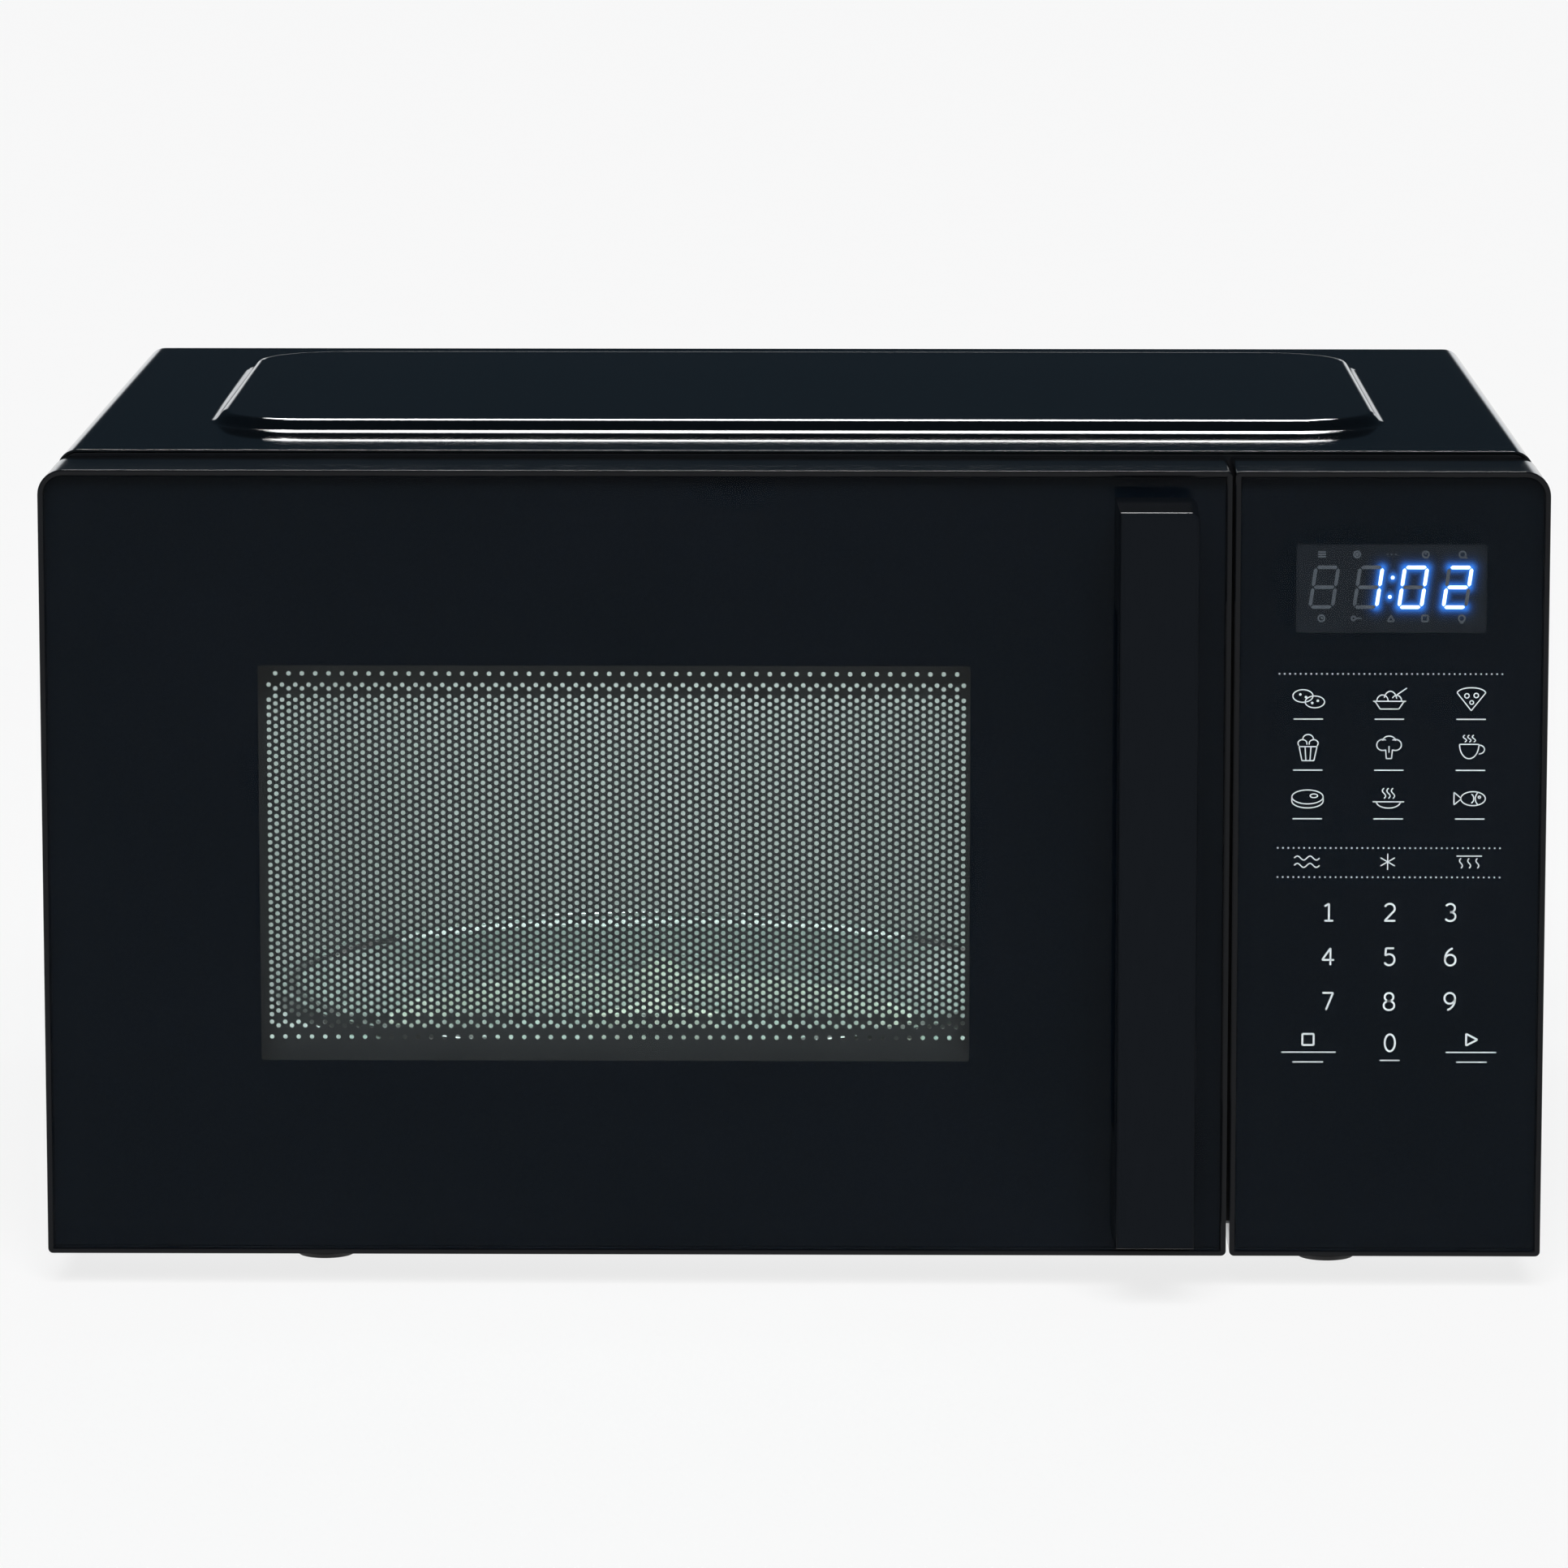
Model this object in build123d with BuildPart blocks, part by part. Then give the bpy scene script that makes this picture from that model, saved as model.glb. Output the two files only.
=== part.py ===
from build123d import *
import os
from math import cos, radians, sin

# Countertop microwave oven with a grill. Millimetres, +Z up, the door faces -Y, the worktop is Z = 0.

os.makedirs("parts", exist_ok=True)

# Front: door at the left, control panel at the right
front_width = 452.0
front_height = 239.0
worktop_gap = 10.5
panel_width = 94.0
seam = 1.0
door_depth = 39.0
door_gap = 1.0
front_corner = 7.5
front_small_corner = 1.5
front_rim = 1.6
glass_thickness = 4.0

# Cabinet of folded steel sheet
cabinet_depth = 305.0
sheet = 0.8
fit = 0.2
cover_inset = 2.0
cover_lift = 1.5
cover_bend = 6.0
cover_lip = 12.0
flange = 12.0
foot_height = 12.0
foot_radius = 10.0
foot_stem_radius = 3.0
foot_left_inset = 81.0
foot_right_inset = 62.0
foot_inset = 40.0

# Raised panel pressed into the top of the cover
plateau_side = 43.0
plateau_end = 46.0
plateau_corner = 30.0
plateau_rise = 3.5
plateau_slope = 3.0
plateau_blend = 3.0
plateau_foot_blend = 2.5
plateau_setback = 5.0

# Vent slots
vent_length = 24.0
vent_height = 3.5
vent_pitch_y = 30.0
vent_pitch_z = 9.0
vent_columns = 3
vent_rows = 8
intake_columns = 3
intake_rows = 9
left_vent_inset = 90.0
left_vent_drop = 75.0
right_vent_setback = 104.0
right_vent_rise = 77.2

# Screws
screw_radius = 1.9
screw_hole_radius = 2.1
screw_head_radius = 3.6
screw_head_height = 2.2
screw_length = 8.0
screw_inset = 36.0

# Cavity
cavity_side = 21.0
cavity_top_gap = 15.5
cavity_back_gap = 16.2
cavity_corner = 45.0
mouth_corner = 5.0
motor_space = 19.4
well_margin = 11.5
well_depth = 3.0
well_slope = 4.0
wall_slot_width = 4.0
wall_slot_height = 34.0
wall_slot_pitch = 11.0
wall_slots = 3

# Turntable
tray_side_gap = 35.0
tray_end_gap = 21.5
tray_rise = 14.0
tray_glass = 4.5
tray_slope_width = 16.5
tray_lug_height = 5.0
tray_lug_width = 7.0
tray_lug_reach = 27.0
tray_lug_gap = 2.0
tray_rim_width = 6.75
roller_side_gap = 1.0
roller_inset = 30.5
roller_radius = 7.6
roller_width = 7.0
roller_play = 0.2
roller_pin_radius = 1.6
ring_width = 7.0
ring_height = 6.0
running_clearance = 0.05
coupler_hub_radius = 10.0
coupler_arm_reach = 24.0
coupler_arm_width = 9.0
coupler_arm_height = 8.0
coupler_clearance = 1.5
shaft_radius = 3.5
shaft_grip = 10.0
floor_hole_radius = 8.0
motor_radius = 24.5
motor_height = 15.0
motor_ear_reach = 30.0
motor_ear_radius = 5.0
motor_ear_height = 2.0

# Door
door_wall = 3.0
ledge_thickness = 3.0
ledge_width = 20.0
ledge_width_latch = 36.0
door_frame_inset = 2.0
door_heel_radius = 3.0
window_left_inset = 65.1
window_right_inset = 77.9
window_low_inset = 59.1
window_high_inset = 59.3
screen_setback = 15.0
screen_thickness = 0.5
screen_lap = 5.0
inner_window_thickness = 2.0
inner_window_lap = 8.0
choke_inset = 10.0
choke_outset = 6.0
choke_height = 16.0
choke_wall_depth = 22.0
choke_slot_width = 4.0
choke_slot_pitch = 15.0
choke_slot_depth = 16.0
choke_cover_edge = 2.5
post_radius = 4.0

# Handle
handle_reach = 33.0
handle_width = 23.4
handle_inset = 22.6
handle_low_inset = 9.0
handle_high_inset = 8.5
handle_bar = 14.0
handle_post = 32.0
handle_edge = 1.2
handle_corner = 3.0
handle_draft = 0.7
handle_inner_blend = 5.0
handle_screw_depth = 12.0

# Hinges
hinge_inset_x = 8.5
hinge_inset_y = 24.0
hinge_pin_radius = 3.0
hinge_pin_length = 11.0
hinge_arm_width = 9.0
hinge_arm_thickness = 2.5
hinge_arm_inset = 6.5
hinge_leg = 45.0
hinge_slot_play = 0.8
hinge_swing_play = 4.6
hinge_block = 12.0
hinge_block_wall = 3.0

# Latch
latch_inset = 9.75
latch_thickness = 5.5
latch_lift = 4.0
latch_low_inset = 69.5
latch_high_inset = 49.5
latch_arm_height = 10.0
latch_nose_drop = 6.0
latch_nose_length = 8.0
latch_nose_extra = 3.5
latch_reach = 26.0
latch_bar_depth = 18.0
latch_bar_end = 14.0
latch_side_play = 0.5
latch_swing_play = 2.5
ledge_play = 0.5
latch_board_thickness = 2.5
latch_board_depth = 36.0
latch_board_margin = 26.0
spring_radius = 3.2
spring_length = 22.0
spring_bore = 2.2
spring_peg_height = 4.0

# Door switches
switch_length = 20.0
switch_width = 6.4
switch_height = 10.0
plunger_width = 2.0
plunger_length = 3.0
plunger_stroke = 1.2
plunger_depth = 3.0

# Microwave source
guide_depth = 26.0
guide_ahead = 75.0
guide_behind = 30.0
guide_height = 76.0
guide_flange = 8.0
tube_setback = 164.0
tube_drop = 100.0
antenna_radius = 9.0
antenna_length = 20.0
antenna_hole_radius = 12.0
launch_length = 56.0
launch_height = 60.0
mica_thickness = 0.6
mica_lap = 8.0
yoke_length = 54.0
yoke_height = 88.0
yoke_depth = 72.0
yoke_wall = 1.6
magnet_radius = 27.0
magnet_length = 12.0
magnet_bore = 12.5
anode_radius = 19.0
fin_count = 5
fin_thickness = 0.8
fin_height = 80.0
fin_depth = 66.0
stem_radius = 8.0
filter_box_gap = 11.2
filter_box_height = 60.0
filter_box_depth = 66.0
plug_margin = 4.2
plug_height = 24.0
plug_reach = 8.4

# High voltage
core_side = 14.1
core_height = 70.0
core_stack = 58.0
core_leg = 14.0
core_shift = 0.9
core_setback = 87.0
core_foot = 1.5
core_foot_lap = 9.0
winding_play = 0.6
winding_overhang = 13.0
can_width = 52.0
can_height = 32.0
can_length = 90.0
can_offset = 49.2
can_setback = 143.0
can_lift = 3.0
clamp_width = 14.0
clamp_foot = 12.0
terminal_height = 8.0
diode_radius = 3.5
diode_length = 18.0
diode_offset = 92.2
diode_setback = 179.0

# Cooling
fan_offset = 56.2
shroud_side = 6.1
shroud_reach = 66.4
shroud_wall = 2.0
orifice_margin = 4.0
blade_gap = 2.5
blade_count = 5
blade_thickness = 1.6
blade_chord = 26.0
blade_pitch = 35.0
blade_twist = 20.0
blade_root_share = 0.55
blade_root_sink = 1.8
hub_radius = 9.0
hub_length = 18.0
hub_gap = 4.0
fan_shaft_radius = 2.5
motor_bar_height = 18.0
motor_bar_depth = 4.0
motor_bar_setback = 32.0
stator_width = 58.0
stator_height = 44.0
stator_stack = 18.0
rotor_radius = 14.0
rotor_gap = 0.5
bearing_strap_gap = 5.0
bearing_strap_thickness = 2.0
coil_leg = 10.0
coil_wall = 7.0
coil_play = 1.0
stator_window_gap = 3.0
strap_post_side = 6.0
strap_post_top = 4.0
strap_reach = 8.0
strap_margin = 4.0
shaft_tail = 2.0
duct_wall = 1.5
duct_height = 66.0
duct_setback = 41.0
duct_mouth = 36.0
duct_gap = 2.0

# Lamp
lamp_ahead = 26.0
lamp_drop = 25.0
lamp_radius = 10.5
lamp_length = 30.0
lamp_neck_radius = 6.5
lamp_collar = 3.0
lamp_offset = 14.0
holder_length = 12.0
holder_width = 18.0

# Grill
reflector_length = 150.0
reflector_depth = 110.0
reflector_height = 11.0
heater_radius = 4.5
heater_spacing = 56.0
heater_end_length = 12.0
heater_end_width = 14.0
grill_slot_length = 22.0
grill_slot_width = 4.0
grill_slot_pitch_x = 26.0
grill_slot_pitch_y = 9.0
grill_slot_columns = 5
grill_slot_rows = 11

# Control panel
panel_wall = 2.5
panel_ledge = 4.0
panel_web = 2.5
panel_web_setback = 30.0
display_side = 18.5
display_height = 26.6
display_drop = 35.6
display_depth = 13.4
board_thickness = 1.6
board_margin = 6.0
board_end = 19.5
relay_size = 16.0
relay_height = 9.0
relay_pitch_x = 22.0
relay_pitch_z = 28.0
board_post_inset = 4.0
wire_side = 22.0
wire_end = 64.5

# Rear
gland_reach = 6.0
gland_offset = 85.2
gland_rise = 35.2
gland_radius = 7.0
gland_flange_radius = 10.0
gland_bore = 4.0
gland_inner = 6.0

# Thermal cut-outs and mains filter board
cutout_radius = 8.0
cutout_height = 6.0
cutout_tab = 24.0
filter_standoff = 6.0
filter_peg_radius = 2.5
filter_board_depth = 54.0
filter_part_height = 18.0
filter_board_margin = 7.0
filter_peg_inset = 5.0
filter_choke_x = -20.0
filter_choke_radius = 14.4
filter_choke_bore = 7.2
filter_can_x = 14.0
filter_can_y = 12.0
filter_can_length = 24.0
filter_can_width = 12.0
fuse_x = 34.0
fuse_width = 6.0
fuse_length = 24.0
fuse_height = 6.0

# Places that follow from the sizes above: the front
door_width = front_width - panel_width - seam
door_left = -front_width / 2
door_right = door_left + door_width
panel_left = door_right + seam
panel_right = front_width / 2
panel_x = (panel_left + panel_right) / 2
front_bottom = worktop_gap
front_top = front_bottom + front_height
panel_z = (front_bottom + front_top) / 2
total_depth = handle_reach + door_depth + door_gap + cabinet_depth + gland_reach
handle_face = -total_depth / 2
glass_face = handle_face + handle_reach
glass_back = glass_face + glass_thickness
ledge_back = glass_back + ledge_thickness
door_back = glass_face + door_depth
window_left = door_left + window_left_inset
window_right = door_right - window_right_inset
window_bottom = front_bottom + window_low_inset
window_top = front_top - window_high_inset
window_width = window_right - window_left
window_height = window_top - window_bottom
window_x = (window_left + window_right) / 2
window_z = (window_bottom + window_top) / 2
handle_x = door_right - handle_inset
handle_bottom = front_bottom + handle_low_inset
handle_top = front_top - handle_high_inset
hinge_x = door_left + hinge_inset_x
hinge_y = glass_face + hinge_inset_y
latch_x = door_right - latch_inset
latch_low = front_bottom + latch_low_inset
latch_high = front_top - latch_high_inset
screen_front = glass_back + screen_setback
choke_plate = screen_front + screen_thickness
choke_plate_back = choke_plate + sheet
choke_seal = choke_plate + choke_height
choke_cover_front = choke_seal
display_width = panel_width - 2 * display_side
display_x = panel_x
display_z = front_top - display_drop
board_height = front_height - 2 * board_end
wire_opening_width = panel_width - 2 * wire_side
wire_opening_height = front_height - 2 * wire_end

# Places of the cabinet and the cavity
frame_face = door_back + door_gap
frame_back = frame_face + sheet
rear_face = frame_face + cabinet_depth
rear_panel_back = rear_face - sheet
rear_panel_front = rear_panel_back - sheet
base_bottom = foot_height
base_top = base_bottom + sheet
cover_width = front_width - 2 * cover_inset
cover_top = front_top + cover_lift
cover_half = cover_width / 2
inner_half = cover_half - sheet - fit
inner_top = cover_top - sheet - fit
plateau_width = front_width - 2 * plateau_side
plateau_depth = cabinet_depth - 2 * plateau_end
cavity_x = (door_left + door_right) / 2
cavity_width = door_width - 2 * cavity_side
cavity_left = cavity_x - cavity_width / 2
cavity_right = cavity_x + cavity_width / 2
cavity_depth = cabinet_depth - sheet - cavity_back_gap
cavity_back = frame_back + cavity_depth
well_under = base_top + motor_space
well_floor = well_under + sheet
floor_level = well_floor + well_depth
roof_level = front_top - cavity_top_gap
roof_top = roof_level + sheet
cavity_height = roof_level - floor_level

# Places of the turntable, centred in the cavity
tray_y = (frame_back + cavity_back) / 2
tray_radius = min(cavity_width / 2 - tray_side_gap, cavity_depth / 2 - tray_end_gap)
tray_flat_radius = tray_radius - tray_slope_width
tray_bottom = well_floor + 2 * (roller_radius + roller_play)
roller_track = tray_radius - roller_inset
well_radius = tray_radius + well_margin

# Places in the machine bay, between the cavity and the right side of the cover
bay_left = cavity_right + sheet
bay_width = inner_half - bay_left
guide_face = bay_left + guide_depth
yoke_end = guide_face + yoke_length
tube_y = frame_face + tube_setback
tube_z = inner_top - tube_drop
guide_front = tube_y - guide_ahead
guide_back = tube_y + guide_behind
duct_front = frame_face + duct_setback
filter_box_length = bay_width - guide_depth - yoke_length - filter_box_gap
plug_width = filter_box_length - 2 * plug_margin
core_width = bay_width - 2 * core_side
core_x = bay_left + bay_width / 2 - core_shift
core_y = frame_face + core_setback
can_x = bay_left + can_offset
can_front = frame_face + can_setback
diode_x = bay_left + diode_offset
diode_y = frame_face + diode_setback
fan_x = bay_left + fan_offset
fan_z = tube_z
shroud_size = bay_width - 2 * shroud_side
shroud_front = rear_panel_front - shroud_reach
orifice_radius = shroud_size / 2 - orifice_margin
blade_radius = orifice_radius - blade_gap
motor_bar_back = shroud_front + motor_bar_setback
filter_board_width = shroud_size - 2 * filter_board_margin
lamp_y = shroud_front - lamp_ahead
lamp_z = roof_level - lamp_drop
gland_x = bay_left + gland_offset
gland_z = base_top + gland_rise


def front_plane(y):
    """Upright plane at depth y: local x runs along X, local y along Z, and the normal points to the front."""
    return Plane((0, y, 0), x_dir=(1, 0, 0), z_dir=(0, -1, 0))


def side_plane(x):
    """Upright plane at x: local x runs along Y, local y along Z, and the normal points to the right."""
    return Plane((x, 0, 0), x_dir=(0, 1, 0), z_dir=(1, 0, 0))


def rect(left, right, low, high, mode=Mode.ADD):
    """Rectangle between two limits each way, in the sketch that is open."""
    with Locations(((left + right) / 2, (low + high) / 2)):
        Rectangle(right - left, high - low, mode=mode)


def top_corner(sketch, side):
    """The upper corner of an outline at its left (side -1) or right (side 1)."""
    return sketch.vertices().group_by(Axis.Y)[-1].sort_by(Axis.X)[0 if side < 0 else -1]


def round_front(sketch, side):
    """Round the corners of a front outline: large at the upper corner on one side, small at the others."""
    fillet(top_corner(sketch, side), front_corner)
    small = sketch.vertices().group_by(Axis.Y)[0] + [top_corner(sketch, -side)]
    fillet(small, front_small_corner)


def keep(piece, name):
    """Label a finished piece and write it."""
    piece.part.label = name
    export_step(piece.part, f"parts/{name}.step")


# Outer cover: top and sides in one folded sheet, a lip round the back and a raised panel in the top
plateau_y = frame_face + cabinet_depth / 2 + plateau_setback
plateau_top = cover_top + plateau_rise
with BuildPart() as outer_cover:
    with BuildSketch(front_plane(frame_face)) as wrap_section:
        rect(-cover_half, cover_half, base_bottom, cover_top)
        fillet(wrap_section.vertices().group_by(Axis.Y)[-1], cover_bend)
    extrude(amount=-cabinet_depth)
    with BuildSketch(Plane.XY.offset(cover_top)):
        with Locations((0, plateau_y)):
            RectangleRounded(plateau_width, plateau_depth, plateau_corner)
    with BuildSketch(Plane.XY.offset(plateau_top)):
        with Locations((0, plateau_y)):
            RectangleRounded(
                plateau_width - 2 * plateau_slope,
                plateau_depth - 2 * plateau_slope,
                plateau_corner - plateau_slope,
            )
    loft(ruled=True)
    fillet(outer_cover.faces().sort_by(Axis.Z)[-1].edges(), plateau_blend)
    top_sheet = outer_cover.faces().filter_by(Plane.XY).sort_by(Axis.Z)[-2]
    fillet(top_sheet.inner_wires().edges(), plateau_foot_blend)
    open_faces = [outer_cover.faces().sort_by(Axis.Y)[0], outer_cover.faces().sort_by(Axis.Z)[0]]
    offset(amount=-sheet, openings=open_faces)
    with BuildSketch(front_plane(rear_face)):
        rect(-cover_half + cover_lip, cover_half - cover_lip, base_bottom, cover_top - cover_lip)
    extrude(amount=2 * sheet, mode=Mode.SUBTRACT)
    with BuildSketch(side_plane(-cover_half)):
        with Locations((rear_face - left_vent_inset, cover_top - left_vent_drop)):
            with GridLocations(vent_pitch_y, vent_pitch_z, vent_columns, vent_rows):
                Rectangle(vent_length, vent_height)
    extrude(amount=2 * sheet, mode=Mode.SUBTRACT)
    with BuildSketch(side_plane(cover_half)):
        with Locations((frame_face + right_vent_setback, base_top + right_vent_rise)):
            with GridLocations(vent_pitch_y, vent_pitch_z, vent_columns, vent_rows):
                Rectangle(vent_length, vent_height)
    extrude(amount=-2 * sheet, mode=Mode.SUBTRACT)
    cover_screw_places = []
    lip_middle = cover_lip / 2 + sheet
    for x in (-plateau_width / 2, 0, plateau_width / 2):
        cover_screw_places.append((x, cover_top - lip_middle))
    for z in (base_top + screw_inset, inner_top - screw_inset):
        cover_screw_places.append((-cover_half + lip_middle, z))
        cover_screw_places.append((cover_half - lip_middle, z))
    with BuildSketch(front_plane(rear_face)):
        with Locations(*cover_screw_places):
            Circle(screw_hole_radius)
    extrude(amount=2 * sheet, mode=Mode.SUBTRACT)
keep(outer_cover, "outer_cover")

# Rear panel: a shallow pan inside the cover lip, with the fan intake and the cord hole
with BuildPart() as rear_panel:
    with BuildSketch(front_plane(rear_panel_back)) as rear_outline:
        rect(-inner_half, inner_half, base_top, inner_top)
        fillet(rear_outline.vertices().group_by(Axis.Y)[-1], cover_bend - sheet)
    extrude(amount=flange)
    pan_open = [rear_panel.faces().sort_by(Axis.Y)[0], rear_panel.faces().sort_by(Axis.Z)[0]]
    offset(amount=-sheet, openings=pan_open)
    with BuildSketch(front_plane(rear_panel_back)):
        with Locations((fan_x, fan_z)):
            with GridLocations(vent_pitch_y, vent_pitch_z, intake_columns, intake_rows):
                Rectangle(vent_length, vent_height)
        with Locations((cavity_x, roof_level - cavity_corner)):
            with GridLocations(vent_pitch_y, vent_pitch_z, vent_columns, intake_columns):
                Rectangle(vent_length, vent_height)
        with Locations((gland_x, gland_z)):
            Circle(gland_radius)
        with Locations(*cover_screw_places):
            Circle(screw_hole_radius)
    extrude(amount=2 * sheet, mode=Mode.SUBTRACT)
keep(rear_panel, "rear_panel")

# Base plate: flat sheet with upturned sides, vents under the transformer and holes for the feet
rear_feet_y = rear_face - foot_inset
front_feet_y = frame_face + foot_radius
feet_x = (door_left + foot_left_inset, panel_right - foot_right_inset)
feet_places = [(x, y) for x in feet_x for y in (front_feet_y, rear_feet_y)]
with BuildPart() as base_plate:
    with BuildSketch(Plane.XY.offset(base_bottom)):
        rect(-inner_half, inner_half, frame_face, rear_panel_back)
    extrude(amount=sheet)
    with BuildSketch(Plane.XY.offset(base_top)):
        for x0 in (-inner_half, inner_half - sheet):
            rect(x0, x0 + sheet, frame_face + flange + sheet, rear_panel_back - flange - sheet)
    extrude(amount=flange)
    with BuildSketch(Plane.XY.offset(base_bottom)):
        with Locations(*feet_places):
            Circle(foot_stem_radius)
        with Locations((core_x, core_y)):
            with GridLocations(vent_pitch_y, 2 * vent_pitch_z, 2, 3):
                Rectangle(vent_length, vent_height)
    extrude(amount=sheet, mode=Mode.SUBTRACT)
keep(base_plate, "base_plate")

# Feet: rubber buttons with a stem pushed into the base plate
foot_rim = 1.5
with BuildPart() as foot:
    with BuildSketch(Plane.XZ):
        with BuildLine():
            Polyline(
                (0, 0),
                (foot_radius - foot_rim, 0),
                (foot_radius, foot_rim),
                (foot_radius - foot_rim, foot_height),
                (foot_stem_radius, foot_height),
                (foot_stem_radius, foot_height + 3 * sheet),
                (0, foot_height + 3 * sheet),
                close=True,
            )
        make_face()
    revolve(axis=Axis.Z)
with BuildPart() as feet:
    with Locations(*[(x, y, 0) for x, y in feet_places]):
        add(foot.part)
keep(feet, "feet")

# Front frame: pan with the mouth of the cavity, latch slots, hinge slots and the wire opening
latch_left = latch_x - latch_thickness / 2
latch_right = latch_x + latch_thickness / 2
nose_left = latch_left - latch_nose_extra
hinge_levels = (front_bottom + hinge_arm_inset, front_top - hinge_arm_inset - hinge_arm_thickness)
with BuildPart() as front_frame:
    with BuildSketch(front_plane(frame_face)) as frame_outline:
        rect(-inner_half, inner_half, base_top, inner_top)
        fillet(frame_outline.vertices().group_by(Axis.Y)[-1], cover_bend - sheet)
    extrude(amount=-flange)
    pan_open = [front_frame.faces().sort_by(Axis.Y)[-1], front_frame.faces().sort_by(Axis.Z)[0]]
    offset(amount=-sheet, openings=pan_open)
    with BuildSketch(front_plane(frame_face)) as mouth:
        rect(cavity_left, cavity_right, floor_level, roof_level)
        fillet(mouth.vertices(), mouth_corner)
    extrude(amount=-sheet, mode=Mode.SUBTRACT)
    with BuildSketch(front_plane(frame_face)):
        for z in (latch_low, latch_high):
            rect(
                nose_left - latch_side_play,
                latch_right + latch_swing_play,
                z - latch_nose_drop - 2 * ledge_play,
                z + latch_arm_height + latch_lift + 2 * ledge_play,
            )
        for z in hinge_levels:
            rect(
                hinge_x - hinge_arm_width / 2,
                hinge_x + hinge_arm_width / 2,
                z,
                z + hinge_arm_thickness,
            )
        with Locations(((panel_left + panel_right) / 2, (front_bottom + front_top) / 2)):
            Rectangle(wire_opening_width, wire_opening_height)
    extrude(amount=-sheet, mode=Mode.SUBTRACT)
keep(front_frame, "front_frame")

# Cavity shell: left, back and right wall bent from one sheet, with large round back corners
launch_front = guide_front + guide_flange
duct_slots_y = duct_front + duct_wall + wall_slots * wall_slot_pitch / 2
with BuildPart() as cavity_shell:
    with BuildSketch(Plane.XY.offset(floor_level)) as shell_outside:
        rect(cavity_left - sheet, cavity_right + sheet, frame_back, cavity_back + sheet)
        fillet(shell_outside.vertices().group_by(Axis.Y)[-1], cavity_corner + sheet)
    extrude(amount=cavity_height)
    with BuildSketch(Plane.XY.offset(floor_level)) as shell_inside:
        rect(cavity_left, cavity_right, frame_back, cavity_back)
        fillet(shell_inside.vertices().group_by(Axis.Y)[-1], cavity_corner)
    extrude(amount=cavity_height, mode=Mode.SUBTRACT)
    with BuildSketch(side_plane(cavity_right)):
        rect(
            launch_front,
            launch_front + launch_length,
            tube_z - launch_height / 2,
            tube_z + launch_height / 2,
        )
        with Locations((duct_slots_y, tube_z)):
            with GridLocations(wall_slot_pitch, 1, wall_slots, 1):
                Rectangle(wall_slot_width, wall_slot_height)
        with Locations((lamp_y - lamp_length / 2, lamp_z)):
            with GridLocations(wall_slot_pitch, 1, 2, 1):
                Rectangle(wall_slot_width, 2 * wall_slot_width)
    extrude(amount=sheet, mode=Mode.SUBTRACT)
    with BuildSketch(side_plane(cavity_left)):
        with Locations((tray_y, roof_level - wall_slot_height)):
            with GridLocations(wall_slot_pitch, 1, wall_slots, 1):
                Rectangle(wall_slot_width, wall_slot_height)
    extrude(amount=-sheet, mode=Mode.SUBTRACT)
keep(cavity_shell, "cavity_shell")

# Cavity roof: flat sheet on top of the shell, slotted under the grill
with BuildPart() as cavity_roof:
    with BuildSketch(Plane.XY.offset(roof_level)) as roof_outline:
        rect(cavity_left - sheet, cavity_right + sheet, frame_back, cavity_back + sheet)
        fillet(roof_outline.vertices().group_by(Axis.Y)[-1], cavity_corner + sheet)
    extrude(amount=sheet)
    with BuildSketch(Plane.XY.offset(roof_level)):
        with Locations((cavity_x, tray_y)):
            with GridLocations(grill_slot_pitch_x, grill_slot_pitch_y, grill_slot_columns, grill_slot_rows):
                Rectangle(grill_slot_length, grill_slot_width)
    extrude(amount=sheet, mode=Mode.SUBTRACT)
keep(cavity_roof, "cavity_roof")

# Cavity floor: sheet under the shell with a round well for the roller ring
floor_under = floor_level - sheet
with BuildPart() as cavity_floor:
    with BuildSketch(Plane.XY.offset(floor_under)) as floor_outline:
        rect(cavity_left - sheet, cavity_right + sheet, frame_back, cavity_back + sheet)
        fillet(floor_outline.vertices().group_by(Axis.Y)[-1], cavity_corner + sheet)
    extrude(amount=sheet)
    with BuildSketch(Plane((cavity_x, tray_y, 0), x_dir=(1, 0, 0), z_dir=(0, -1, 0))):
        with BuildLine():
            Polyline(
                (0, floor_under),
                (well_radius + well_slope, floor_under),
                (well_radius, well_under),
                (0, well_under),
                close=True,
            )
        make_face()
    revolve(axis=Axis((cavity_x, tray_y, 0), (0, 0, 1)))
    with BuildSketch(Plane((cavity_x, tray_y, 0), x_dir=(1, 0, 0), z_dir=(0, -1, 0))):
        with BuildLine():
            Polyline(
                (0, floor_level),
                (well_radius + well_slope - sheet, floor_level),
                (well_radius - sheet, well_floor),
                (0, well_floor),
                close=True,
            )
        make_face()
    revolve(axis=Axis((cavity_x, tray_y, 0), (0, 0, 1)), mode=Mode.SUBTRACT)
    with BuildSketch(Plane.XY.offset(well_under)):
        with Locations((cavity_x, tray_y)):
            Circle(floor_hole_radius)
    extrude(amount=sheet, mode=Mode.SUBTRACT)
keep(cavity_floor, "cavity_floor")

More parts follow.
